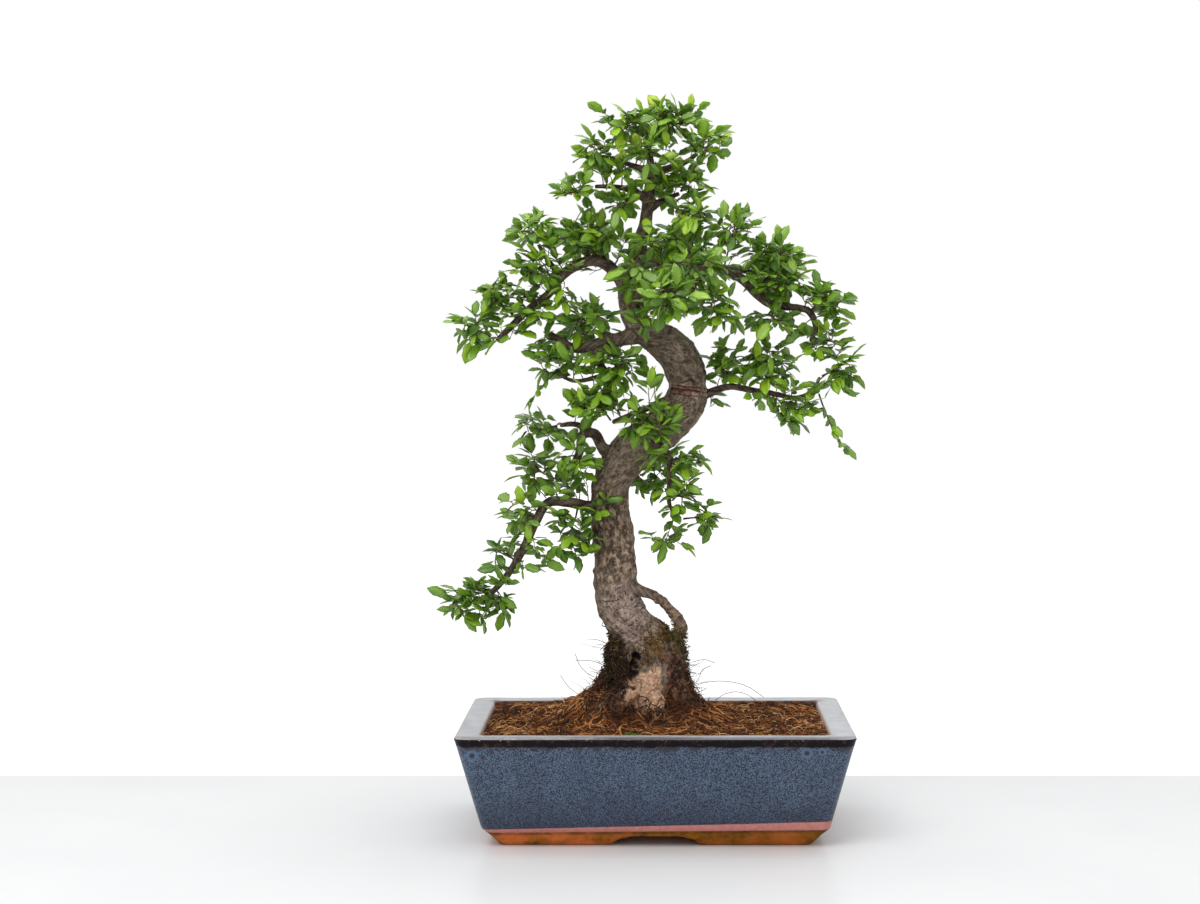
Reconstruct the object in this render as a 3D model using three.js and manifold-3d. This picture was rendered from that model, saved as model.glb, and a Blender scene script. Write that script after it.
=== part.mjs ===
// Chinese elm bonsai in a rectangular glazed pot, in millimetres, +Z up.
// The tree stands in a mound of fibrous soil; its leafy sprays are separate pieces that
// meet the grown wood at their stems. Everything is first laid out from the pot's centre.
import * as THREE from 'three';
import Module from 'manifold-3d';

const wasm = await Module();
wasm.setup();

// Driving sizes of the pot
const potWidth = 320;
const potDepth = 215;
const potHeight = 92;
const lipWidth = 19.5;
const potCorner = 10;
const floorTop = 22;
const footWidth = 15;
const archHeight = 8.5;
const frontArchTop = 50;
const frontArchBottom = 73;
const sideArchTop = 40;
const sideArchBottom = 56;
const drainDiameter = 24;
const drainOffset = 62;

// Driving sizes of the soil, the leaves and the fit between pieces
const fitGap = 0.3;
const mergeReach = 0.15;
const soilDrop = 2;
const moundHeight = 34;
const moundReachRight = 76;
const moundReachLeft = 122;
const moundReachFront = 44;
const leafLength = 24;
const leafWidth = 12.5;
const leafThickness = 0.8;
const twigRadius = 1.5;
const shootsPerSpray = 2;
const leavesPerSpray = { fewest: 5, most: 8, perVolume: 0.00062 };
const tipMargin = 7;
const stemSpacing = 6;

// The box round the whole tree is centred on the origin, so the pot stands beside it
const potPlace = new THREE.Vector3(5, 4, 0);

const up = new THREE.Vector3(0, 0, 1);

// A repeatable random source: the same seed always gives the same draws from 0 to 1
function randomSource(seed) {
  let state = seed >>> 0;
  return () => {
    state = (state + 0x6d2b79f5) >>> 0;
    let mixed = Math.imul(state ^ (state >>> 15), 1 | state);
    mixed = (mixed + Math.imul(mixed ^ (mixed >>> 7), 61 | mixed)) ^ mixed;
    return ((mixed ^ (mixed >>> 14)) >>> 0) / 4294967296;
  };
}

// Solids from rings of points

// A closed solid: rings of equal count joined by walls, with a flat fan on each end
function solidFromRings(rings) {
  const sides = rings[0].length;
  const vertices = rings.flat().flatMap((point) => [point.x, point.y, point.z]);
  const triangles = [];
  for (let ring = 0; ring < rings.length - 1; ring++) {
    for (let side = 0; side < sides; side++) {
      const next = (side + 1) % sides;
      const a = ring * sides + side;
      const b = ring * sides + next;
      const c = a + sides;
      const d = b + sides;
      triangles.push(a, b, d, a, d, c);
    }
  }
  const last = (rings.length - 1) * sides;
  for (let side = 1; side < sides - 1; side++) {
    triangles.push(0, side + 1, side);
    triangles.push(last, last + side, last + side + 1);
  }
  return solidFromTriangles(vertices, triangles);
}

function solidFromTriangles(vertices, triangles) {
  return new wasm.Manifold(new wasm.Mesh({
    numProp: 3,
    vertProperties: new Float32Array(vertices),
    triVerts: new Uint32Array(triangles),
  }));
}

// A rectangle with round corners at one height, anticlockwise seen from above
function roundedRing(halfWidth, halfDepth, radius, height, cornerSteps = 3) {
  const points = [];
  const corners = [[1, 1], [-1, 1], [-1, -1], [1, -1]];
  corners.forEach(([signX, signY], corner) => {
    for (let step = 0; step <= cornerSteps; step++) {
      const angle = (corner + step / cornerSteps) * Math.PI / 2;
      points.push(new THREE.Vector3(
        signX * (halfWidth - radius) + radius * Math.cos(angle),
        signY * (halfDepth - radius) + radius * Math.sin(angle),
        height,
      ));
    }
  });
  return points;
}

// Straight bar with a trapezoid section, lying along Y, for the arches between the feet
function archBar(topWidth, bottomWidth, height, length) {
  const low = -1;
  const slope = (bottomWidth - topWidth) / 2 / height;
  const half = (z) => topWidth / 2 + slope * (height - z);
  const section = [[-half(low), low], [half(low), low], [half(height), height], [-half(height), height]];
  const ends = [length / 2, -length / 2];
  return solidFromRings(ends.map((y) => section.map(([x, z]) => new THREE.Vector3(x, y, z))));
}

function upright(radius, bottom, top, sides = 16) {
  const ring = (z) => Array.from({ length: sides }, (_, side) => {
    const angle = side / sides * 2 * Math.PI;
    return new THREE.Vector3(radius * Math.cos(angle), radius * Math.sin(angle), z);
  });
  return solidFromRings([ring(bottom), ring(top)]);
}

// Pot: tapered body with a flat lip, a cove above the feet and four corner feet

const innerWidth = potWidth - 2 * lipWidth;
const innerDepth = potDepth - 2 * lipWidth;
const wallLean = 11;

function innerHalf(size, height) {
  return size / 2 - wallLean * (potHeight - height) / (potHeight - floorTop);
}

function makePot() {
  const outer = [[0, 33], [8, 27], [15, 20], [potHeight - 1.2, 0], [potHeight, 1]];
  let pot = solidFromRings(outer.map(([height, inset]) => roundedRing(
    potWidth / 2 - inset, potDepth / 2 - inset, potCorner - inset * 0.1, height,
  )));
  const inside = [floorTop, potHeight + 1].map((height) => roundedRing(
    innerHalf(innerWidth, height), innerHalf(innerDepth, height), 5, height, 2,
  ));
  pot = pot.subtract(solidFromRings(inside));
  const soleHalf = (size) => size / 2 - 33 - footWidth;
  const sole = [-1, archHeight].map((height) => roundedRing(
    soleHalf(potWidth), soleHalf(potDepth), 5, height, 1,
  ));
  pot = pot.subtract(solidFromRings(sole));
  pot = pot.subtract(archBar(frontArchTop, frontArchBottom, archHeight, potDepth + 20));
  pot = pot.subtract(archBar(sideArchTop, sideArchBottom, archHeight, potWidth + 20).rotate([0, 0, 90]));
  for (const side of [-1, 1]) {
    pot = pot.subtract(upright(drainDiameter / 2, -1, floorTop + 1).translate([side * drainOffset, 0, 0]));
  }
  return pot;
}

// Plastic mesh over a drain hole: a flat square with rows of square openings
function makeDrainScreen(centreX) {
  const size = 40;
  const thickness = 1.2;
  const cells = 3;
  const bar = 3;
  const pitch = (size - bar) / cells;
  const bottom = floorTop + fitGap;
  const square = (half, low, high) => solidFromRings([low, high].map((height) => [
    new THREE.Vector3(half, half, height), new THREE.Vector3(-half, half, height),
    new THREE.Vector3(-half, -half, height), new THREE.Vector3(half, -half, height),
  ]));
  let screen = square(size / 2, bottom, bottom + thickness);
  for (let row = 0; row < cells; row++) {
    for (let column = 0; column < cells; column++) {
      const x = -size / 2 + bar / 2 + (column + 0.5) * pitch;
      const y = -size / 2 + bar / 2 + (row + 0.5) * pitch;
      screen = screen.subtract(square((pitch - bar) / 2, bottom - 1, bottom + 3).translate([x, y, 0]));
    }
  }
  return screen.translate([centreX, 0, 0]);
}

// Wood: the trunk's centre line, then branches and roots, each as x, y, z and radius

const trunkSides = 12;

const trunkRoute = [
  [-12, 0, 76, 31], [-11, 0, 98, 29], [-7, 0, 116, 25.5], [1, 0, 128, 21], [3, 1, 140, 19],
  [-5, 2, 154, 20], [-18.5, 3, 168, 19.4], [-28.5, 4, 184, 18.9], [-32.5, 5, 202, 18.3], [-33, 6, 223, 17],
  [-35, 6, 249, 17.5], [-38, 5, 270, 15.8], [-35, 3, 291, 16], [-22, 0, 311, 17.5], [-3, -3, 327, 17.5],
  [16, -6, 342, 17], [26, -8, 357, 17], [28, -8, 371, 15.3], [24, -7, 387, 16.5], [14, -5, 401, 15.5],
  [0, -2, 411, 13.5], [-13, 1, 420, 10.5], [-20, 3, 433, 8.4], [-21, 4, 450, 8], [-18, 5, 467, 7.4],
  [-11, 4, 486, 6.6], [-6, 2, 505, 5.6], [-4, 0, 523, 5], [-2, -1, 540, 4.2], [-2, -1, 556, 3.2],
  [-4, 0, 571, 2.2],
];

const rootLoopRoute = [
  [-24, 0, 206, 6], [-11, -8, 198.5, 4.6], [-3, -12, 196.5, 4], [5, -14, 192, 3.8], [12, -15, 185.5, 3.8],
  [18, -15, 178, 4.2], [21, -13, 171, 4.8], [19.5, -9, 163, 5.2], [13, -4, 152, 5.5],
];

const branchRoutes = {
  leftUpper: [
    [-20, 4, 447, 6], [-30, 0, 462, 5.6], [-45, -6, 473, 5], [-62, -10, 470, 4.5], [-77, -12, 459, 4.1],
    [-86, -12, 446, 3.8], [-102, -12, 434, 3.4], [-118, -10, 419, 3], [-130, -8, 407, 2.4],
  ],
  leftUpperTwig: [[-76, -12, 459, 2.6], [-88, -9, 475, 2.2], [-95, -6, 487, 1.9]],
  leftUpperBack: [[-32, 0, 463, 3.4], [-43, 18, 471, 2.8], [-55, 34, 479, 2.2]],
  rightUpper: [
    [-16, 5, 470, 5.4], [10, 8, 474, 5], [39, 6, 470, 4.7], [74, 0, 457, 4.4], [88, -3, 444, 4.6],
    [97, -5, 437, 4.2], [113, -6, 434, 3.4], [129, -6, 430, 3], [134, -6, 418, 2.6], [130, -6, 405, 2],
  ],
  rightUpperTwig: [[86, -3, 446, 2.8], [98, 0, 461, 2.5], [104, 2, 472, 2.1]],
  rightUpperBack: [[37, 6, 470, 3.2], [60, 22, 468, 2.7], [84, 36, 464, 2.1]],
  leftMiddle: [
    [-6, -1, 414, 7], [-28, -5, 408, 6], [-44, -9, 405, 5], [-66, -12, 401, 3.8], [-77, -13, 408, 3],
    [-87, -13, 414, 2.2],
  ],
  leftMiddleFork: [[-42, -9, 405, 3.8], [-47, -14, 392, 3.4], [-40, -18, 380, 2.8], [-50, -20, 376, 2.3],
    [-66, -20, 374, 1.9], [-80, -18, 380, 1.6]],
  leftMiddleBack: [[-26, -4, 408, 3.6], [-36, 16, 411, 2.8], [-47, 34, 412, 2.1]],
  rightMiddle: [
    [26, -6, 355, 4.2], [46, -4, 363, 3.6], [60, -2, 368, 3], [83, -3, 365, 2.7], [101, -4, 362, 2.5],
    [120, -4, 359, 2.2], [132, -3, 365, 2], [138, -1, 376, 1.7],
  ],
  lowLeftKnot: [
    [-26, 0, 308, 6.5], [-42, -3, 317, 5.2], [-50, -6, 330, 4.4], [-58, -10, 330, 4], [-62, -13, 314, 3.8],
    [-69, -14, 301, 3.2], [-78, -14, 291, 2.6],
  ],
  lowLeftTwig: [[-52, -8, 331, 2.6], [-66, -10, 338, 2.2], [-78, -12, 337, 1.9]],
  lowLeft: [
    [-36, 4, 268, 5.6], [-55, -4, 269, 4.8], [-72, -8, 273, 4.4], [-88, -11, 273, 4.2], [-97, -12, 260, 4],
    [-107, -12, 238, 3.6], [-116, -11, 222, 3.2], [-127, -10, 207, 2.8], [-139, -9, 195, 2.4],
    [-152, -8, 188, 2],
  ],
  lowRightFront: [
    [-3, -8, 326, 4], [5, -28, 321, 3.2], [12, -38, 312, 2.8], [13, -43, 299, 2.4], [12, -44, 285, 2.2],
    [13, -44, 272, 1.9], [22, -42, 261, 1.6],
  ],
  frontMiddle: [[16, -12, 355, 4], [8, -25, 357, 3.2], [-3, -31, 352, 2.8], [-19, -36, 346, 2.4],
    [-34, -38, 340, 2]],
  frontCentre: [[-15, 0, 425, 5], [-13, -20, 436, 4.2], [-8, -42, 443, 3.6], [4, -62, 445, 3],
    [10, -76, 443, 2.4]],
  frontCentreRight: [[-8, -40, 442, 2.8], [14, -50, 447, 2.4], [34, -52, 447, 2]],
  backCentre: [[-20, 4, 438, 5], [-14, 24, 448, 4], [0, 46, 457, 3.2], [14, 68, 458, 2.4]],
  lowBack: [[-34, 6, 284, 4], [-26, 24, 288, 3], [-14, 38, 292, 2.2]],
  crownRight: [[-3, 0, 545, 3.2], [12, -3, 549, 2.8], [27, -4, 554, 2.3], [37, -4, 561, 1.8]],
  crownLeft: [[-3, 0, 547, 3], [-15, -2, 551, 2.4], [-28, -4, 556, 2]],
  crownLowLeft: [[-4, 0, 524, 3.2], [-18, -5, 531, 2.7], [-34, -9, 534, 2.2], [-48, -10, 534, 1.8]],
  crownLowRight: [[-4, 0, 516, 3.2], [8, 3, 523, 2.6], [22, 5, 529, 2]],
};

// Surface roots that run from the flare out under the soil, and thin ones from the overhang
const rootRoutes = [
  [[10, -6, 118, 9], [26, -16, 106, 6.5], [42, -24, 90, 4]],
  [[-2, -16, 114, 9], [2, -28, 101, 7], [9, -43, 87, 4.5]],
  [[-24, -12, 116, 9], [-40, -26, 107, 6.5], [-56, -38, 93, 4]],
  [[-26, 8, 118, 9], [-48, 14, 108, 6.5], [-68, 18, 98, 4]],
  [[-6, 18, 118, 9], [0, 36, 107, 6.5], [8, 52, 95, 4]],
  [
    [-22, -2, 160, 6], [-33, -4, 149, 7.5], [-34, -5, 137, 7], [-39, -6, 124, 8], [-50, -8, 110, 8],
    [-60, -9, 99, 5],
  ],
  [[-20, -10, 152, 5.5], [-26, -15, 138, 6], [-27, -19, 122, 6.5], [-33, -25, 107, 6], [-37, -29, 97, 4]],
  [[-13, -17, 120, 7], [-28, -25, 111, 9], [-35, -29, 102, 7]],
  [[14, -5, 160, 7], [20, -8, 143, 6], [20, -8, 125, 7], [27, -10, 111, 7], [37, -13, 99, 5]],
];

function placePoint([x, y, z]) {
  return new THREE.Vector3(x, y, z);
}

// A tapering tube: one ring at each point of the route, square to the way the route runs.
// extra thickens it for a hole, and ridges makes the section wavy with so many lobes.
function tapered(route, sides, { extra = 0, ridges = 0, lobes = 5, turn = 0 } = {}) {
  const points = route.map(placePoint);
  const rings = [];
  let across = points[1].clone().sub(points[0]).cross(up);
  if (across.length() < 1) across.set(1, 0, 0);
  points.forEach((point, index) => {
    const before = points[Math.max(index - 1, 0)];
    const after = points[Math.min(index + 1, points.length - 1)];
    const along = after.clone().sub(before).normalize();
    across = across.clone().addScaledVector(along, -across.dot(along)).normalize();
    const over = along.clone().cross(across);
    const isEnd = index === 0 || index === points.length - 1;
    const middle = isEnd ? point.clone().addScaledVector(along, index === 0 ? -extra : extra) : point;
    const depth = ridges * Math.exp(-Math.max(point.z - 98, 0) / 30) + ridges * 0.25;
    rings.push(Array.from({ length: sides }, (_, side) => {
      const angle = (side + turn) / sides * 2 * Math.PI;
      const radius = route[index][3] * (1 + depth * Math.cos(lobes * angle + index * 0.35)) + extra;
      return middle.clone()
        .addScaledVector(across, radius * Math.cos(angle))
        .addScaledVector(over, radius * Math.sin(angle));
    }));
  });
  return solidFromRings(rings);
}

function fuse(solids) {
  return wasm.Manifold.union(solids);
}

// The largest body of a solid, with any loose scrap dropped
function wholeBody(solid) {
  const bodies = solid.decompose();
  return bodies.reduce((best, body) => (body.volume() > best.volume() ? body : best));
}

function makeWoodBase(extra) {
  const lowTrunk = tapered(trunkRoute.slice(0, 6), trunkSides, { extra, ridges: 0.07 });
  const roots = rootRoutes.map((route) => tapered(route, 5, { extra }));
  return fuse([lowTrunk, ...roots]);
}

function makeTreeWood(extra = 0) {
  const trunk = tapered(trunkRoute, trunkSides, { extra, ridges: 0.07 });
  const loop = tapered(rootLoopRoute, 7, { extra });
  const roots = rootRoutes.map((route) => tapered(route, 5, { extra }));
  const branches = Object.values(branchRoutes).map((route) => tapered(route, 5, { extra }));
  return wholeBody(fuse([trunk, loop, ...roots, ...branches]).asOriginal().simplify(mergeReach));
}

// Soil: fills the pot to just under the lip and rises in a mound round the trunk

// A ring with its long straight stretches divided into equal steps of about one length
function withSidePoints(ring, stepLength) {
  return ring.flatMap((point, index) => {
    const next = ring[(index + 1) % ring.length];
    const steps = Math.max(1, Math.round(point.distanceTo(next) / stepLength));
    return Array.from({ length: steps }, (_, step) => point.clone().lerp(next, step / steps));
  });
}

function moundAt(x, y) {
  const fromTrunk = Math.hypot(x + 5, y);
  const towardLeft = (1 - (x + 5) / Math.max(fromTrunk, 1)) / 2;
  const towardFront = Math.max(-y / Math.max(fromTrunk, 1), 0) ** 2;
  const sideReach = moundReachRight + (moundReachLeft - moundReachRight) * towardLeft;
  const reach = sideReach + (moundReachFront - sideReach) * towardFront;
  const share = Math.min(fromTrunk / reach, 1);
  return moundHeight * (1 - share * share * (3 - 2 * share));
}

function makeSoil() {
  const bottom = floorTop + fitGap;
  const top = potHeight - soilDrop;
  const halfAt = (height) => [
    innerHalf(innerWidth, height) - fitGap, innerHalf(innerDepth, height) - fitGap,
  ];
  const ringAt = (height) => withSidePoints(roundedRing(...halfAt(height), 5, height, 1), 34);
  const rim = ringAt(top);
  const rings = [ringAt(bottom), rim];
  const steps = 5;
  for (let step = 1; step < steps; step++) {
    const share = 1 - step / steps;
    rings.push(rim.map((point, index) => {
      const angle = Math.atan2(point.y, point.x + 5);
      const inner = new THREE.Vector3(-5 + 12 * Math.cos(angle), 12 * Math.sin(angle), top);
      const place = inner.lerp(point, share);
      const rough = 1.2 * Math.sin(index * 2.4 + step * 1.7);
      place.z = top + moundAt(place.x, place.y) + rough;
      return place;
    }));
  }
  let soil = solidFromRings(rings);
  for (const side of [-1, 1]) {
    const half = 20 + fitGap;
    const pocket = [floorTop - 1, floorTop + 1.2 + 2 * fitGap].map((height) => [
      new THREE.Vector3(half, half, height), new THREE.Vector3(-half, half, height),
      new THREE.Vector3(-half, -half, height), new THREE.Vector3(half, -half, height),
    ]);
    soil = soil.subtract(solidFromRings(pocket).translate([side * drainOffset, 0, 0]));
  }
  return wholeBody(soil.subtract(makeWoodBase(fitGap + 0.1)).asOriginal().simplify(0.05));
}

// Sprays: each is a region of foliage with its centre and half sizes along x, y and z

const sprayRegions = {
  crown_top_left: [-22, -12, 585, 22, 26, 15],
  crown_top_right: [18, 4, 590, 22, 26, 17],
  crown_top_back: [-1, 34, 587, 25, 22, 17],
  crown_left: [-45, -4, 562, 20, 26, 19],
  crown_right: [45, -2, 569, 19, 24, 18],
  crown_front: [-3, -38, 559, 19, 18, 19],
  crown_low_left: [-62, -10, 532, 24, 24, 14],
  crown_low_right: [30, 6, 535, 23, 26, 17],
  crown_low_back: [1, 42, 539, 22, 20, 17],
  crown_neck_left: [-27, -20, 520, 16, 20, 13],
  shoulder_right_top: [30, -14, 509, 21, 28, 17],
  shoulder_right_mid: [66, -22, 497, 23, 26, 18],
  shoulder_left_top: [-99, -6, 498, 22, 24, 17],
  shoulder_left_mid: [-55, -10, 493, 26, 26, 18],
  shoulder_left_low: [-96, -18, 466, 24, 22, 17],
  shoulder_left_back: [-59, 42, 494, 31, 26, 20],
  left_end_top: [-130, -8, 444, 20, 22, 18],
  left_end_tip: [-148, -8, 418, 21, 20, 22],
  left_end_low: [-104, -12, 433, 23, 22, 20],
  centre_top: [6, -36, 487, 25, 22, 16],
  centre_left: [-13, -52, 460, 20, 24, 19],
  centre_right: [36, -58, 465, 24, 26, 19],
  centre_front: [13, -86, 441, 24, 24, 20],
  centre_low_left: [-9, -46, 426, 18, 18, 17],
  centre_low_right: [52, -44, 433, 22, 22, 21],
  centre_back: [23, 62, 482, 34, 30, 32],
  back_low: [19, 84, 448, 31, 26, 28],
  right_shoulder_top: [99, -4, 477, 22, 22, 19],
  right_shoulder_mid: [106, -16, 453, 25, 22, 18],
  right_end_top: [139, -6, 440, 26, 22, 19],
  right_end_low: [138, -8, 407, 21, 20, 22],
  right_back: [100, 44, 468, 30, 26, 27],
  left_mid_top: [-57, -16, 425, 23, 22, 19],
  left_mid_end: [-85, -14, 397, 19, 20, 29],
  left_mid_low: [-33, -24, 385, 25, 22, 21],
  left_mid_back: [-53, 44, 416, 27, 24, 26],
  right_mid_top: [60, -6, 387, 20, 20, 22],
  right_mid_far: [96, -4, 388, 22, 22, 24],
  right_mid_low: [117, -6, 350, 26, 20, 19],
  right_mid_tip: [154, -4, 383, 19, 16, 23],
  front_low_left: [-46, -34, 358, 20, 20, 21],
  front_low_right: [-1, -50, 341, 28, 22, 20],
  low_left_top: [-93, -12, 335, 25, 20, 18],
  low_left_mid: [-99, -14, 301, 22, 20, 21],
  low_left_near: [-60, -24, 308, 21, 20, 21],
  low_left_fork: [-110, -12, 266, 20, 18, 21],
  low_left_under: [-66, -14, 250, 24, 18, 30],
  tail_mid: [-121, -10, 228, 21, 16, 24],
  tail_end: [-149, -8, 191, 33, 20, 23],
  low_right_top: [18, -44, 310, 33, 20, 15],
  low_right_mid: [23, -48, 281, 18, 18, 20],
  low_right_end: [41, -42, 264, 15, 16, 17],
  low_right_low: [10, -42, 245, 22, 16, 14],
  low_back: [1, 48, 297, 30, 24, 26],
  right_shoulder_low: [96, -12, 424, 22, 20, 15],
};

// Straight pieces of wood, each with a radius at both ends, that sprays start from and keep clear of
const woodRoutes = [trunkRoute, rootLoopRoute, ...Object.values(branchRoutes)];
const woodSpans = woodRoutes.flatMap((route) => route.slice(1).map((end, index) => {
  const start = route[index];
  return { start: placePoint(start), end: placePoint(end), startRadius: start[3], endRadius: end[3] };
}));

// Nearest place on one span: the share along it, the point, and the wood's radius there
function nearestOnSpan(span, point) {
  const run = span.end.clone().sub(span.start);
  const share = THREE.MathUtils.clamp(point.clone().sub(span.start).dot(run) / run.lengthSq(), 0, 1);
  const place = span.start.clone().addScaledVector(run, share);
  return { place, radius: THREE.MathUtils.lerp(span.startRadius, span.endRadius, share) };
}

function clearOfWood(point, clearance) {
  return woodSpans.every((span) => {
    const near = nearestOnSpan(span, point);
    return near.place.distanceTo(point) - near.radius > clearance;
  });
}

// Where a spray's stem starts: on the side of thin wood near the region, towards its centre,
// and apart from the stems that are already there
const stemStarts = [];

function sprayStart(centre) {
  let best = null;
  for (const span of woodSpans) {
    const ends = [span.start, span.end, span.start.clone().lerp(span.end, 0.5), centre];
    for (const near of ends.map((end) => nearestOnSpan(span, end))) {
      const way = centre.clone().sub(near.place).normalize();
      const start = near.place.clone().addScaledVector(way, near.radius);
      const distance = near.place.distanceTo(centre) + near.radius * 2;
      if (best && distance >= best.distance) continue;
      if (stemStarts.some((other) => other.distanceTo(start) < stemSpacing)) continue;
      if (!clearOfWood(start.clone().addScaledVector(way, 3), 1.5)) continue;
      const heel = start.clone().addScaledVector(way, -Math.min(near.radius, 3));
      best = { start, way, heel, distance };
    }
  }
  stemStarts.push(best.start);
  return best;
}

// Points already taken, in a grid of cells, so that no leaf or twig comes too close to another
const cellSize = 5;
const takenCells = new Map();

function cellKey(x, y, z) {
  return `${Math.floor(x / cellSize)},${Math.floor(y / cellSize)},${Math.floor(z / cellSize)}`;
}

function takePoint(point, owner) {
  const key = cellKey(point.x, point.y, point.z);
  if (!takenCells.has(key)) takenCells.set(key, []);
  takenCells.get(key).push({ point, owner });
}

function isFree(point, clearance, isExempt) {
  for (let x = -1; x <= 1; x++) {
    for (let y = -1; y <= 1; y++) {
      for (let z = -1; z <= 1; z++) {
        const key = cellKey(point.x + x * cellSize, point.y + y * cellSize, point.z + z * cellSize);
        for (const other of takenCells.get(key) ?? []) {
          if (other.point.distanceTo(point) < clearance && !isExempt(other.owner)) return false;
        }
      }
    }
  }
  return true;
}

// Points along a quadratic curve from start to tip that leaves in the direction of way
function shootCurve(start, way, tip, steps) {
  const reach = start.distanceTo(tip);
  const bend = start.clone().addScaledVector(way, reach * 0.45);
  return new THREE.QuadraticBezierCurve3(start, bend, tip).getPoints(steps);
}

// Places every so often along a shoot's straight pieces, without its first point
function placesAlong(points) {
  const shares = [0.2, 0.4, 0.6, 0.8, 1];
  return points.slice(1).flatMap((point, index) => (
    shares.map((share) => points[index].clone().lerp(point, share))));
}

// A shoot may come close to the wood only where its stem starts, and to no other spray
function isShootClear(points, stem, name) {
  return placesAlong(points).every((place) => (
    clearOfWood(place, Math.min(twigRadius + 1, 0.2 + 0.6 * place.distanceTo(stem)))
    && isFree(place, 4.8, (owner) => owner === name)));
}

// Shoots of one spray. Each tip is the best of several draws inside the region, the one
// furthest from the tips before it, and its shoot starts at the nearest knot of those before.
function growShoots(name, region, count, seed) {
  const draw = randomSource(seed);
  const centre = placePoint(region);
  const half = new THREE.Vector3(...region.slice(3)).subScalar(tipMargin);
  const { start, way, heel } = sprayStart(centre);
  const knots = [{ point: start, way }];
  const tips = [start.clone().sub(centre).divide(half)];
  const shoots = [];
  const tries = 14;
  for (let index = 0; index < count; index++) {
    let best = null;
    for (let attempt = 0; attempt < tries; attempt++) {
      const polar = Math.acos(1 - 2 * draw());
      const turn = 2 * Math.PI * draw();
      const reach = 0.6 + 0.4 * draw();
      const tip = new THREE.Vector3().setFromSphericalCoords(reach, polar, turn);
      const spread = Math.min(...tips.map((other) => other.distanceTo(tip)));
      if (best && spread <= best.spread) continue;
      const place = tip.clone().multiply(half).add(centre);
      const knot = knots.reduce((near, other) => (
        other.point.distanceTo(place) < near.point.distanceTo(place) ? other : near));
      const length = knot.point.distanceTo(place);
      if (length < 10) continue;
      const points = shootCurve(knot.point, knot.way, place, Math.max(1, Math.round(length / 17)));
      if (isShootClear(points, start, name)) best = { spread, tip, points };
    }
    if (!best) continue;
    tips.push(best.tip);
    const isFromWood = best.points[0].distanceTo(start) < 0.01;
    shoots.push({ points: best.points, isFromWood, heel });
    best.points.slice(1).forEach((point, step) => {
      const before = best.points[step];
      const heading = point.clone().sub(before).normalize();
      const side = heading.clone().cross(up).normalize().multiplyScalar(step % 2 ? 0.8 : -0.8);
      knots.push({ point, way: heading.clone().add(side).normalize() });
    });
    placesAlong(best.points).forEach((place) => takePoint(place, name));
  }
  return { centre, volume: region[3] * region[4] * region[5], shoots, draw };
}

// How far a leaf's face has bent down at a share of its length
function leafDroop(leaf, share) {
  return -0.22 * share * share * leaf.length;
}

// A leaf blade: two faces on six outline points, bent down in steps towards its tip
function leafBlade(leaf) {
  const outline = [[0, 0], [0.36, 0.5], [0.7, 0.37], [1, 0], [0.7, -0.37], [0.36, -0.5]];
  const vertices = [];
  for (const face of [0.5, -0.5]) {
    for (const [share, side] of outline) {
      const point = leaf.base.clone()
        .addScaledVector(leaf.along, share * leaf.length)
        .addScaledVector(leaf.across, side * leaf.width)
        .addScaledVector(leaf.normal, leafDroop(leaf, share) + face * leafThickness);
      vertices.push(point.x, point.y, point.z);
    }
  }
  const faceTriangles = [[0, 5, 1], [5, 4, 1], [4, 2, 1], [4, 3, 2]];
  const triangles = [];
  for (const [a, b, c] of faceTriangles) {
    triangles.push(a, b, c);
    triangles.push(a + 6, c + 6, b + 6);
  }
  for (let edge = 0; edge < 6; edge++) {
    const next = (edge + 1) % 6;
    triangles.push(edge, next + 6, edge + 6, edge, next, next + 6);
  }
  return solidFromTriangles(vertices, triangles);
}

// Points spread over a leaf, used to keep it clear of all that stands before it
function leafPoints(leaf) {
  const points = [];
  for (let share = 0.12; share <= 1.001; share += 0.11) {
    const halfWide = 0.5 * leaf.width * Math.sin(Math.PI * Math.min(share * 0.86 + 0.12, 1));
    for (const side of [-1, -0.5, 0, 0.5, 1]) {
      const point = leaf.base.clone()
        .addScaledVector(leaf.along, share * leaf.length)
        .addScaledVector(leaf.across, side * halfWide)
        .addScaledVector(leaf.normal, leafDroop(leaf, share));
      points.push({ point, share });
    }
  }
  return points;
}

// One leaf at a place on a shoot: it points out sideways and forward, and its face looks
// up and away from the trunk
function drawLeaf(base, heading, side, isTip, centre, draw) {
  const sideways = heading.clone().cross(up);
  if (sideways.length() < 0.35) sideways.set(Math.cos(centre.x), Math.sin(centre.x), 0);
  sideways.normalize();
  const spread = isTip ? 0.15 : 0.95 + 0.5 * draw();
  const along = heading.clone()
    .addScaledVector(sideways, side * spread)
    .add(new THREE.Vector3(draw() - 0.5, draw() - 0.5, draw() - 0.35).multiplyScalar(0.7))
    .normalize();
  const away = new THREE.Vector3(base.x, base.y, 0).normalize();
  const face = up.clone().multiplyScalar(0.9).addScaledVector(away, 0.45)
    .add(new THREE.Vector3(draw() - 0.5, draw() - 0.5, draw() - 0.5).multiplyScalar(1.1));
  const normal = face.addScaledVector(along, -face.dot(along)).normalize();
  const across = normal.clone().cross(along);
  const size = 0.86 + 0.28 * draw();
  return {
    base: base.clone(), along, across, normal,
    length: leafLength * size, width: leafWidth * size,
  };
}

// A place on a shoot at a share of its length, with the way the shoot heads there
function alongShoot(points, share) {
  const spans = points.slice(1).map((point, index) => point.distanceTo(points[index]));
  let left = share * spans.reduce((sum, span) => sum + span, 0);
  let index = 0;
  while (index < spans.length - 1 && left > spans[index]) {
    left -= spans[index];
    index += 1;
  }
  const heading = points[index + 1].clone().sub(points[index]).normalize();
  return { base: points[index].clone().addScaledVector(heading, left), heading };
}

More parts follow.
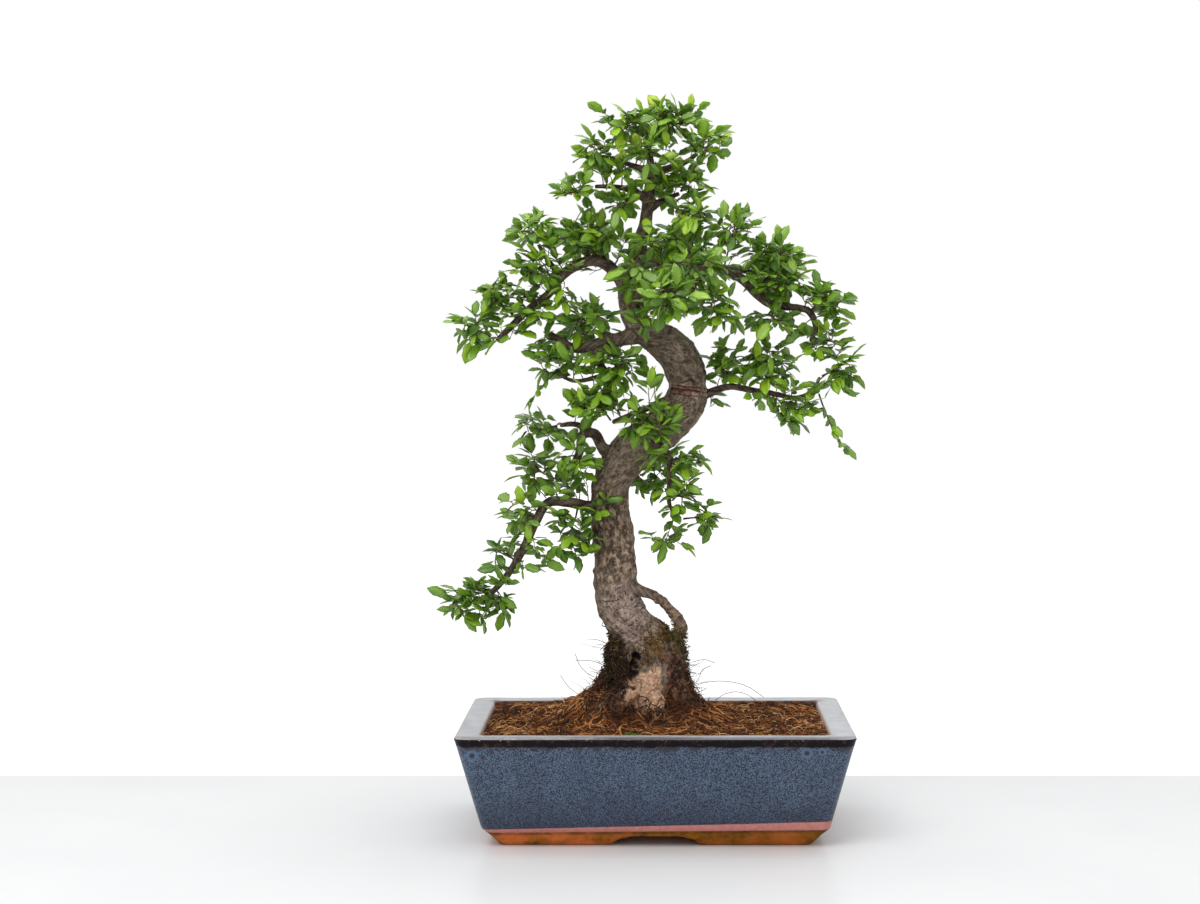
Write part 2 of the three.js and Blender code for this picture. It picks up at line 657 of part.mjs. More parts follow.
// Leaves of one spray, alternate and evenly spaced along its shoots, from each tip back
function growLeaves(name, spray) {
  const leaves = [];
  const { fewest, most, perVolume } = leavesPerSpray;
  const wanted = THREE.MathUtils.clamp(Math.round(spray.volume * perVolume), fewest, most);
  const perShoot = wanted / spray.shoots.length;
  for (const shoot of spray.shoots) {
    const count = shoot === spray.shoots[0] ? Math.ceil(perShoot) : Math.floor(perShoot);
    for (let index = 0; index < count; index++) {
      const isTip = index === 0;
      const share = isTip ? 0.97 : 0.97 - 0.75 * index / count;
      const { base, heading } = alongShoot(shoot.points, share);
      for (let attempt = 0; attempt < 20; attempt++) {
        const side = (index + attempt) % 2 ? 1 : -1;
        const leaf = drawLeaf(base, heading, side, isTip, spray.centre, spray.draw);
        const points = leafPoints(leaf);
        const isClear = points.every((entry) => clearOfWood(entry.point, 1.6)
          && isFree(entry.point, 3, (owner) => owner.startsWith(name) && entry.share < 0.3));
        if (!isClear) continue;
        points.forEach((entry) => takePoint(entry.point, `${name} leaf`));
        leaves.push(leaf);
        break;
      }
    }
  }
  return leaves;
}

// Twigs and leaves of a spray fused, with the heel of its stem cut to the wood it stands on
function makeSpray(spray, grownWood) {
  const twigs = spray.shoots.map((shoot) => {
    const points = shoot.isFromWood ? [shoot.heel, ...shoot.points] : shoot.points;
    const route = points.map((point, index) => [
      point.x, point.y, point.z, twigRadius * (1 - 0.3 * index / points.length),
    ]);
    return tapered(route, 4, { turn: 0.5 });
  });
  const whole = fuse([...twigs, ...spray.leaves.map(leafBlade)]).subtract(grownWood);
  return wholeBody(whole.asOriginal().simplify(mergeReach));
}

// Finishes, one for each kind of piece

const finishes = {
  glaze: { color: 0x33465f, roughness: 0.32, metalness: 0 },
  plastic: { color: 0x1d1f20, roughness: 0.6, metalness: 0 },
  soil: { color: 0x7d4420, roughness: 0.95, metalness: 0 },
  bark: { color: 0x75645a, roughness: 0.85, metalness: 0 },
  leaf: { color: 0x4d8036, roughness: 0.5, metalness: 0 },
};

function namedMesh(name, solid, finish) {
  const mesh = solid.getMesh();
  const geometry = new THREE.BufferGeometry();
  geometry.setAttribute('position', new THREE.BufferAttribute(new Float32Array(mesh.vertProperties), 3));
  geometry.setIndex(new THREE.BufferAttribute(new Uint32Array(mesh.triVerts), 1));
  const piece = new THREE.Mesh(geometry, new THREE.MeshStandardMaterial(finishes[finish]));
  piece.name = name;
  return piece;
}

const bonsai = new THREE.Group();
bonsai.name = 'elm_bonsai';
bonsai.position.copy(potPlace);
bonsai.add(namedMesh('pot', makePot(), 'glaze'));
bonsai.add(namedMesh('drain_screen_left', makeDrainScreen(-drainOffset), 'plastic'));
bonsai.add(namedMesh('drain_screen_right', makeDrainScreen(drainOffset), 'plastic'));
bonsai.add(namedMesh('soil', makeSoil(), 'soil'));
bonsai.add(namedMesh('tree_wood', makeTreeWood(), 'bark'));

// All shoots stand before the first leaf is placed, so leaves keep clear of every twig
const sprays = Object.entries(sprayRegions).map(([name, region], index) => ({
  name, ...growShoots(name, region, shootsPerSpray, index + 1),
}));
for (const spray of sprays) spray.leaves = growLeaves(spray.name, spray);
const grownWood = makeTreeWood(fitGap);
for (const spray of sprays) {
  bonsai.add(namedMesh(`spray_${spray.name}`, makeSpray(spray, grownWood), 'leaf'));
}

export default bonsai;
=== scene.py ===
import math

import bpy
import numpy as np
from mathutils import Matrix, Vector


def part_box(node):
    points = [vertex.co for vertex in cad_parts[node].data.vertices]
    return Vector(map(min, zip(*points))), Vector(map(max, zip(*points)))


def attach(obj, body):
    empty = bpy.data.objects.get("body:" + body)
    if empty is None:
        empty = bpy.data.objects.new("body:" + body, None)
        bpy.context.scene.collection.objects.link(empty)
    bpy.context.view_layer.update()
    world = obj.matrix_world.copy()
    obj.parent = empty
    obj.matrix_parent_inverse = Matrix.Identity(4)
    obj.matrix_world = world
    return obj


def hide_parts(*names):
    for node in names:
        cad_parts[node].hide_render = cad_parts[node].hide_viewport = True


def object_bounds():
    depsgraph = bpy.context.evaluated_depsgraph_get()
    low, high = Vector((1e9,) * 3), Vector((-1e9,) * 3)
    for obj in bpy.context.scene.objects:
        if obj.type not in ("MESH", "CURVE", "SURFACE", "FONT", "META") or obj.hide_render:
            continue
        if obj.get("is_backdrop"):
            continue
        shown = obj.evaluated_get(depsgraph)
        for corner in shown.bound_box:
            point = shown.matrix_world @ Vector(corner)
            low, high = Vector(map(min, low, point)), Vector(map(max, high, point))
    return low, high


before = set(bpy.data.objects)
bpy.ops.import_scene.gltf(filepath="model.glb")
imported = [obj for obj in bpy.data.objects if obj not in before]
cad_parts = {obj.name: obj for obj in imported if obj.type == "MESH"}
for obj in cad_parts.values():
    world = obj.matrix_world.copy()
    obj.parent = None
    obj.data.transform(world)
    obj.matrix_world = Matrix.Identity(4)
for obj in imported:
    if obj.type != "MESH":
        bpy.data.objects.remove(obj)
cadLow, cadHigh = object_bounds()
print("frame loaded")

mm = 0.001
potLow, potHigh = (np.array(corner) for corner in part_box("pot"))
potMiddle = np.array([(potLow[0] + potHigh[0]) / 2, (potLow[1] + potHigh[1]) / 2, 0.0])
up = np.array([0.0, 0.0, 1.0])


# Camera: places are in millimetres from the pot's middle on the floor, angles in degrees

view = dict(place=(5.1, -1829.5, 392.9), turn=-1.57, down=2.46, roll=0.30, lens=65.88, sensor=36,
            farthest=100)


def addCamera():
    # columns of the camera's matrix: right, up and back of the picture, turned by its roll
    turn, down, roll = (math.radians(view[key]) for key in ("turn", "down", "roll"))
    ahead = np.array([math.sin(turn) * math.cos(down), math.cos(turn) * math.cos(down), -math.sin(down)])
    level = np.array([math.cos(turn), -math.sin(turn), 0.0])
    above = np.array([math.sin(turn) * math.sin(down), math.cos(turn) * math.sin(down), math.cos(down)])
    matrix = np.identity(4)
    matrix[:3, 0] = math.cos(roll) * level - math.sin(roll) * above
    matrix[:3, 1] = math.sin(roll) * level + math.cos(roll) * above
    matrix[:3, 2] = -ahead
    matrix[:3, 3] = np.array(view["place"]) * mm + potMiddle
    data = bpy.data.cameras.new("camera")
    data.lens, data.sensor_width, data.clip_end = view["lens"], view["sensor"], view["farthest"]
    camera = bpy.data.objects.new("camera", data)
    camera.matrix_world = Matrix(matrix.tolist())
    bpy.context.collection.objects.link(camera)
    bpy.context.scene.camera = camera


addCamera()
bpy.context.scene.view_settings.view_transform = "Standard"


# Small tools: random draws, smooth noise, mesh making

def randomSource(seed):
    # the same seed always gives the same draws from 0 to 1
    state = [seed & 0xFFFFFFFF]

    def draw():
        state[0] = (state[0] + 0x6D2B79F5) & 0xFFFFFFFF
        mixed = ((state[0] ^ (state[0] >> 15)) * (1 | state[0])) & 0xFFFFFFFF
        mixed = ((mixed + ((mixed ^ (mixed >> 7)) * (61 | mixed) & 0xFFFFFFFF)) & 0xFFFFFFFF) ^ mixed
        return (mixed ^ (mixed >> 14)) / 4294967296

    return draw


def latticeNoise(points, size, seed=0):
    # smooth values from -1 to 1: random values on a lattice of one cell size, eased between corners
    scaled = points / size
    cell = np.floor(scaled).astype(np.int64)
    part = scaled - cell
    ease = part * part * (3 - 2 * part)
    total = np.zeros(len(points))
    for corner in np.ndindex(2, 2, 2):
        place = cell + np.array(corner)
        mixed = place[:, 0] * 374761393 + place[:, 1] * 668265263 + place[:, 2] * 1440662683 + seed * 974711
        mixed = mixed & 0x7FFFFFFF
        mixed = ((mixed ^ (mixed >> 13)) * 1274126177) & 0x7FFFFFFF
        value = ((mixed ^ (mixed >> 16)) & 0xFFFF) / 32767.5 - 1
        total += value * np.prod(np.where(np.array(corner) == 1, ease, 1 - ease), axis=1)
    return total


def layeredNoise(points, size, seed=0, layers=3):
    # noise at one size plus half as much at half the size, and so on
    total = np.zeros(len(points))
    for layer in range(layers):
        total += latticeNoise(points, size / 2 ** layer, seed + 17 * layer) * 0.5 ** layer
    return total


def unit(vectors):
    # each vector divided by its length
    return vectors / np.maximum(np.linalg.norm(vectors, axis=-1, keepdims=True), 1e-9)


def makeMesh(points, loops, counts, material, attributes=None, uvs=None):
    # one smooth mesh from corner points in millimetres from the pot's middle, the loop of point
    # numbers and the number of corners of each face
    mesh = bpy.data.meshes.new("piece")
    mesh.vertices.add(len(points))
    mesh.vertices.foreach_set("co", (np.asarray(points) * mm + potMiddle).astype(np.float32).ravel())
    mesh.loops.add(len(loops))
    mesh.loops.foreach_set("vertex_index", np.asarray(loops, dtype=np.int32))
    starts = np.concatenate([[0], np.cumsum(counts)[:-1]])
    mesh.polygons.add(len(counts))
    mesh.polygons.foreach_set("loop_start", starts.astype(np.int32))
    mesh.polygons.foreach_set("use_smooth", np.full(len(counts), True))
    addAttributes(mesh, attributes or {})
    if uvs is not None:
        layer = mesh.uv_layers.new(name="pattern")
        layer.data.foreach_set("uv", np.asarray(uvs, dtype=np.float32)[np.asarray(loops)].ravel())
    mesh.update(calc_edges=True)
    mesh.validate()
    mesh.materials.append(material)
    return mesh


def addAttributes(mesh, attributes):
    # one number for each point under each name, which a material reads
    for key, values in attributes.items():
        mesh.attributes.new(key, "FLOAT", "POINT").data.foreach_set("value", values.astype(np.float32))


def readPoints(mesh, key="co"):
    # each point's place in metres, or its normal
    values = np.empty(len(mesh.vertices) * 3, dtype=np.float32)
    mesh.vertices.foreach_get(key, values)
    return values.reshape(-1, 3).astype(float)


def placesOf(mesh):
    # the mesh's points in millimetres from the pot's middle
    return (readPoints(mesh) - potMiddle) / mm


def addPiece(name, mesh, replaced=()):
    # a finished piece rides with the root; it may stand in for nodes of the solids
    mesh.name = name
    piece = bpy.data.objects.new(name, mesh)
    bpy.context.collection.objects.link(piece)
    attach(piece, "root")
    if replaced:
        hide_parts(*replaced)
    return piece


def settleModifiers(piece):
    # the piece's mesh becomes what its modifiers make of it
    evaluated = piece.evaluated_get(bpy.context.evaluated_depsgraph_get())
    mesh = bpy.data.meshes.new_from_object(evaluated)
    old = piece.data
    piece.modifiers.clear()
    piece.data = mesh
    bpy.data.meshes.remove(old)
    mesh.name = piece.name
    mesh.polygons.foreach_set("use_smooth", np.full(len(mesh.polygons), True))


def gridQuads(rows, columns, closed=False):
    # point numbers of the quads of a grid; closed joins the last column to the first
    row = np.arange(rows - 1)[:, None]
    column = np.arange(columns if closed else columns - 1)[None, :]
    following = (column + 1) % columns
    quads = np.stack([
        row * columns + column, row * columns + following,
        (row + 1) * columns + following, (row + 1) * columns + column,
    ], axis=-1)
    return quads.reshape(-1, 4)


def smoothRoute(route, step):
    # points about one step apart on a cubic through the route's points, radius included
    route = np.asarray(route, dtype=float)
    spans = np.linalg.norm(np.diff(route[:, :3], axis=0), axis=1)
    slopes = np.gradient(route, np.concatenate([[0], np.cumsum(spans)]), axis=0)
    pieces = []
    for index, span in enumerate(spans):
        count = max(2, int(math.ceil(span / step)))
        share = np.arange(count)[:, None] / count
        start, end = route[index], route[index + 1]
        startSlope, endSlope = slopes[index] * span, slopes[index + 1] * span
        pieces.append(
            (2 * share ** 3 - 3 * share ** 2 + 1) * start + (share ** 3 - 2 * share ** 2 + share) * startSlope
            + (3 * share ** 2 - 2 * share ** 3) * end + (share ** 3 - share ** 2) * endSlope
        )
    return np.concatenate(pieces + [route[-1:]])


def lengthAlong(points):
    # distance from the first point to each of them, along the straight pieces between
    return np.concatenate([[0], np.cumsum(np.linalg.norm(np.diff(points, axis=0), axis=1))])


def evenly(where, distances, points):
    # places between points, at the distances asked for
    return np.stack([np.interp(where, distances, points[:, axis]) for axis in range(3)], axis=-1)


def routeFrames(points):
    # a way along and two ways across at each point, carried on without twist
    along = unit(np.gradient(points, axis=0))
    across = np.cross(along[0], up)
    if np.linalg.norm(across) < 0.05:
        across = np.array([1.0, 0.0, 0.0])
    carried = []
    for way in along:
        across = unit(across - way * np.dot(across, way))
        carried.append(across)
    carried = np.array(carried)
    return carried, np.cross(along, carried)


def tubePoints(route, sides, shape=None):
    # rings round a route: place + radius * (cos, sin of the angle) on the two ways across
    points, radii = route[:, :3], route[:, 3]
    across, over = routeFrames(points)
    angle = np.arange(sides) / sides * 2 * np.pi
    spread = radii[:, None] * (1 if shape is None else shape(points, angle))
    spread = np.broadcast_to(spread, (len(points), sides))
    return points[:, None] + (spread * np.cos(angle))[..., None] * across[:, None] \
        + (spread * np.sin(angle))[..., None] * over[:, None]


def tubeFaces(rings, sides, offset=0):
    # wall quads and a flat cap of many corners on each end
    quads = gridQuads(rings, sides, closed=True) + offset
    first = np.arange(sides)[::-1] + offset
    last = np.arange(sides) + offset + (rings - 1) * sides
    loops = np.concatenate([quads.ravel(), first, last])
    counts = np.concatenate([np.full(len(quads), 4), [sides, sides]])
    return loops, counts


def strandMesh(paths, radii, sides, material, tones):
    # many thin tubes at once: paths is strands x points x 3, radii is strands x points
    strands, steps = radii.shape
    along = unit(np.gradient(paths, axis=1))
    across = unit(np.cross(along, np.where(np.abs(along[..., 2:]) > 0.9, [1.0, 0.0, 0.0], up)))
    over = np.cross(along, across)
    angle = np.arange(sides) / sides * 2 * np.pi
    points = paths[:, :, None] + radii[:, :, None, None] * (
        np.cos(angle)[:, None] * across[:, :, None] + np.sin(angle)[:, None] * over[:, :, None])
    quads = gridQuads(steps, sides, closed=True)
    offsets = (np.arange(strands) * steps * sides)[:, None]
    caps = np.stack([np.arange(sides)[::-1], np.arange(sides) + (steps - 1) * sides])
    loops = np.concatenate([(quads.ravel() + offsets).ravel(), (caps.ravel() + offsets).ravel()])
    counts = np.concatenate([np.full(len(quads) * strands, 4), np.full(2 * strands, sides)])
    tone = np.repeat(tones, steps * sides)
    return makeMesh(points.reshape(-1, 3), loops, counts, material, dict(tone=tone))


# Shader tools: values in a material's nodes that can be added, multiplied and blended

class Value:
    # one output of a node; sums and products of values are Math nodes beside it
    def __init__(self, socket):
        self.socket, self.tree = socket, socket.id_data

    def __add__(self, other):
        return compute("ADD", self, other)

    def __sub__(self, other):
        return compute("SUBTRACT", self, other)

    def __rsub__(self, other):
        return compute("SUBTRACT", other, self)

    def __mul__(self, other):
        return compute("MULTIPLY", self, other)

    def __truediv__(self, other):
        return compute("DIVIDE", self, other)

    def __rtruediv__(self, other):
        return compute("DIVIDE", other, self)

    def __abs__(self):
        return compute("ABSOLUTE", self)


def setInputs(node, inputs):
    # a value is linked; a plain number, place or colour is set on the socket itself
    for key, value in inputs.items():
        socket = node.inputs[key]
        if isinstance(value, Value):
            value.tree.links.new(value.socket, socket)
        else:
            socket.default_value = (*value, 1) if socket.type == "RGBA" else value


def addNode(tree, kind, inputs=None, **settings):
    # a node of one kind with its settings and inputs
    node = tree.nodes.new("ShaderNode" + kind)
    for key, value in settings.items():
        setattr(node, key, value)
    setInputs(node, inputs or {})
    return node


def read(tree, kind, output=0, inputs=None, **settings):
    # what a new node gives out
    return Value(addNode(tree, kind, inputs, **settings).outputs[output])


def treeOf(*values):
    # the tree of the first value among them
    return next(value.tree for value in values if isinstance(value, Value))


def compute(operation, *values):
    # a Math node on values and numbers
    return read(treeOf(*values), "Math", 0, dict(enumerate(values)), operation=operation)


def between(value, low, high):
    # 0 at low, 1 at high and even steps between them
    return read(value.tree, "MapRange", 0, {0: value, 1: low, 2: high}, clamp=True)


def blendNumbers(share, first, second):
    # the number first at share 0 and second at share 1
    return read(share.tree, "Mix", 0, {0: share, 2: first, 3: second}, data_type="FLOAT")


def blend(share, first, second):
    # the colour first at share 0 and second at share 1
    return read(treeOf(share, first, second), "Mix", 2, {0: share, 6: first, 7: second}, data_type="RGBA")


def layered(color, *coats):
    # coats laid over a colour in turn, each a share and a colour
    for share, coat in coats:
        color = blend(share, color, coat)
    return color


def axes(vector):
    # its x, y and z
    return [Value(output) for output in addNode(vector.tree, "SeparateXYZ", {0: vector}).outputs]


def ramp(value, stops):
    # a colour for each value, blended between the stops
    node = addNode(value.tree, "ValToRGB", {0: value})
    while len(node.color_ramp.elements) < len(stops):
        node.color_ramp.elements.new(0.5)
    for element, (place, color) in zip(node.color_ramp.elements, stops):
        element.position = place
        element.color = (*color, 1)
    return Value(node.outputs[0])


def makePatchGroup():
    # shared effect: soft-edged patches of noise at a place, as a mask from 0 to 1
    group = bpy.data.node_groups.new("patches", "ShaderNodeTree")
    for key, value in (("Size", 0.01), ("Cover", 0.5), ("Softness", 0.1), ("Seed", 0.0)):
        group.interface.new_socket(key, in_out="INPUT", socket_type="NodeSocketFloat").default_value = value
    group.interface.new_socket("Place", in_out="INPUT", socket_type="NodeSocketVector")
    for key in ("Mask", "Value"):
        group.interface.new_socket(key, in_out="OUTPUT", socket_type="NodeSocketFloat")
    given = group.nodes.new("NodeGroupInput").outputs
    size, cover, softness, seed, place = (
        Value(given[key]) for key in ("Size", "Cover", "Softness", "Seed", "Place"))
    noise = read(group, "TexNoise", 0, {"Vector": place, "W": seed, "Scale": 1.0 / size, "Detail": 4.0,
                                        "Roughness": 0.6}, noise_dimensions="4D")
    level = 1.0 - cover
    mask = between(noise, level - softness, level + softness)
    setInputs(group.nodes.new("NodeGroupOutput"), {"Mask": mask, "Value": noise})
    return group


patchGroup = makePatchGroup()


class Finish:
    # a material in the making, with its shader and the places on its piece
    def __init__(self, name, **constants):
        self.material = bpy.data.materials.new(name)
        self.material.use_nodes = True
        self.tree = self.material.node_tree
        self.shader = self.tree.nodes["Principled BSDF"]
        self.place = read(self.tree, "TexCoord", "Object")
        self.feed(constants)

    def feed(self, sockets):
        # the shader's own sockets, named with underscores
        setInputs(self.shader, {key.replace("_", " "): value for key, value in sockets.items()})

    def patches(self, size, cover, softness, seed, output="Mask", place=None):
        # patches of about the size given in metres, over a share of the surface
        node = addNode(self.tree, "Group", node_tree=patchGroup)
        setInputs(node, {"Size": size, "Cover": cover, "Softness": softness, "Seed": seed,
                         "Place": place or self.place})
        return Value(node.outputs[output])

    def mottle(self, colors, *patch, **place):
        # two colours in patches
        return blend(self.patches(*patch, **place), *colors)

    def mark(self, name):
        # a number that the mesh keeps for each of its points
        return read(self.tree, "Attribute", "Fac", attribute_name=name)

    def done(self, color, relief=None, **sockets):
        # relief is a height, how strongly it shades and its depth in metres
        self.feed(dict(sockets, Base_Color=color))
        if relief:
            height, strength, depth = relief
            bump = {"Strength": strength, "Distance": depth, "Height": height}
            self.feed(dict(Normal=read(self.tree, "Bump", 0, bump)))
        return self.material


# Light and floor

studio = dict(
    sky=0.88, behind=1.0, mirrorLow=0.25, mirrorHigh=1.5, aim=0.3,
    keyPower=24, keySize=1.3, keyPlace=(-0.7, -1.5, 1.9), topPower=10, topSize=1.2, topPlace=(0.3, 0.2, 2.0),
    tableTone=(0.80, 0.805, 0.81), cloudTone=(0.73, 0.735, 0.745), tableBack=0.224, fadeFrom=1.2, fadeTo=2.6,
    floorReach=6.0)
black, white = (0, 0, 0), (1, 1, 1)


def addLight(name):
    # a square light aimed at the middle of the tree
    place = np.array(studio[name + "Place"])
    data = bpy.data.lights.new(name, "AREA")
    data.energy, data.size = studio[name + "Power"], studio[name + "Size"]
    light = bpy.data.objects.new(name, data)
    light.location = place
    aim = np.array([0, 0, studio["aim"]]) - place
    light.rotation_euler = (math.atan2(math.hypot(aim[0], aim[1]), -aim[2]), 0, math.atan2(-aim[0], aim[1]))
    bpy.context.collection.objects.link(light)


def addWorld():
    # even white for the camera, even light for the surfaces, brighter upwards where it is mirrored
    world = bpy.data.worlds.new("studio")
    world.use_nodes = True
    bpy.context.scene.world = world
    tree = world.node_tree
    height = axes(read(tree, "TexCoord", "Generated"))[2]
    mirrored = read(tree, "MapRange", 0, {0: height, 1: 0.1, 2: 0.75, 3: studio["mirrorLow"],
                                          4: studio["mirrorHigh"]})
    sky = blendNumbers(read(tree, "LightPath", "Is Glossy Ray"), studio["sky"], mirrored)
    strength = blendNumbers(read(tree, "LightPath", "Is Camera Ray"), sky, studio["behind"])
    setInputs(tree.nodes["Background"], {"Color": white, "Strength": strength})


def addFloor():
    # a pale table under the pot; past its back edge and far from the pot it is as white as the room
    finish = Finish("floor_pale", Roughness=0.28, Specular_IOR_Level=0.2, Emission_Strength=studio["behind"])
    x, y = axes(finish.place)[:2]
    flat = read(finish.tree, "CombineXYZ", 0, {"X": x, "Y": y})
    distance = read(finish.tree, "VectorMath", "Value", {0: flat}, operation="LENGTH")
    past = compute("MAXIMUM", between(y, studio["tableBack"], studio["tableBack"] + 0.002),
                   between(distance, studio["fadeFrom"], studio["fadeTo"]))
    table = finish.mottle((studio["tableTone"], studio["cloudTone"]), 0.22, 0.42, 0.3, 3.0)
    material = finish.done(blend(past, table, black), Emission_Color=blend(past, black, white))
    corners = np.array([(-1, -1, 0), (1, -1, 0), (1, 1, 0), (-1, 1, 0)]) * studio["floorReach"] / mm
    floor = bpy.data.objects.new("floor", makeMesh(corners, [0, 1, 2, 3], [4], material))
    bpy.context.collection.objects.link(floor)
    floor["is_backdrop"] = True


addWorld()
addLight("key")
addLight("top")
addFloor()
print("studio ready")


# Pot: a rounded rectangle carried along a profile of insets and heights, in millimetres

pot = dict(halfWidth=160.0, halfDepth=107.5, corner=10.0, archHeight=8.5, frontArch=(25.0, 36.5),
           sideArch=(20.0, 28.0), drainRadius=12.0, drainOffset=62.0, wobble=0.28, lipWobble=0.35,
           footInset=49.0, innerFrom=17.4)

potProfile = [
    (62, 8.5), (50, 8.5), (48.8, 7.9), (48.2, 6), (47.6, 1.2), (46.6, 0.2), (45, 0), (35.2, 0), (33.8, 0.3),
    (33, 1.2), (31.2, 3.2), (29.2, 5.5), (27.4, 7.8), (26.2, 9.2), (24.2, 11.2), (22.2, 13.2), (20.8, 14.6),
    (20, 15.8), (19.2, 18), (17.6, 24), (15, 34), (12.4, 44), (9.8, 54), (7.2, 64), (4.6, 74), (2.4, 82.4),
    (1.2, 87), (0.5, 89.4), (0.1, 90.6), (0.3, 91.4), (1.0, 91.9), (2.4, 92), (6, 91.9), (12, 91.8),
    (17.6, 91.9), (18.9, 91.5), (19.5, 90.6), (19.9, 88), (22, 74), (26, 50), (30, 26), (31, 23), (33, 22),
    (44, 22)]


def roundedRectangle(halfWidth, halfDepth, radius, cornerSteps=8, sideSteps=(26, 18)):
    # four arcs joined by straight stretches, always with the same number of points
    arcs = []
    for corner, signs in enumerate(((1, 1), (-1, 1), (-1, -1), (1, -1))):
        angle = (corner + np.arange(cornerSteps + 1) / cornerSteps) * np.pi / 2
        middle = np.array([halfWidth - radius, halfDepth - radius]) * signs
        arcs.append(middle + radius * np.stack([np.cos(angle), np.sin(angle)], axis=1))
    pieces = []
    for corner, arc in enumerate(arcs):
        share = np.arange(1, sideSteps[corner % 2])[:, None] / sideSteps[corner % 2]
        pieces += [arc, arc[-1] + share * (arcs[(corner + 1) % 4][0] - arc[-1])]
    return np.concatenate(pieces)


def archRise(distance, topHalf, bottomHalf):
    # how far the arch between the feet lifts the rim: all of its height up to topHalf, none from bottomHalf
    share = (bottomHalf - np.abs(distance)) / (bottomHalf - topHalf)
    return np.clip(share, 0, 1) * pot["archHeight"]


def makePotMesh(material):
    # the profile's rings, lifted over the arches, with walls and lip a little uneven
    rings = []
    for inset, height in potProfile:
        radius = max(pot["corner"] - inset * 0.1, 4)
        ring = roundedRectangle(pot["halfWidth"] - inset, pot["halfDepth"] - inset, radius)
        rings.append(np.column_stack([ring, np.full(len(ring), float(height))]))
    points = np.concatenate(rings)
    inset = np.repeat([profile[0] for profile in potProfile], len(rings[0]))
    rise = np.maximum(archRise(points[:, 0], *pot["frontArch"]), archRise(points[:, 1], *pot["sideArch"]))
    isFoot = (inset < pot["footInset"]) & (points[:, 2] < pot["archHeight"])
    points[:, 2] = np.where(isFoot, np.maximum(points[:, 2], rise), points[:, 2])
    swell = latticeNoise(points, 55.0, 5) * pot["wobble"] * np.clip(points[:, 2] / 20, 0, 1)
    points[:, :2] -= unit(points[:, :2]) * np.abs(swell)[:, None]
    points[:, 2] -= np.abs(latticeNoise(points, 38.0, 9)) * pot["lipWobble"] * (points[:, 2] > 85)
    return makeMesh(points, *tubeFaces(len(rings), len(rings[0])), material)


# drips on the front wall: x, z and radius in millimetres
glazeMarks = [
    (-145, 78, 4.2), (-76, 60, 1.6), (-6, 42, 1.5), (54, 66, 1.2), (120, 80, 4.0), (132, 81, 2.6),
    (-110, 47, 1.3), (88, 34, 1.4)]


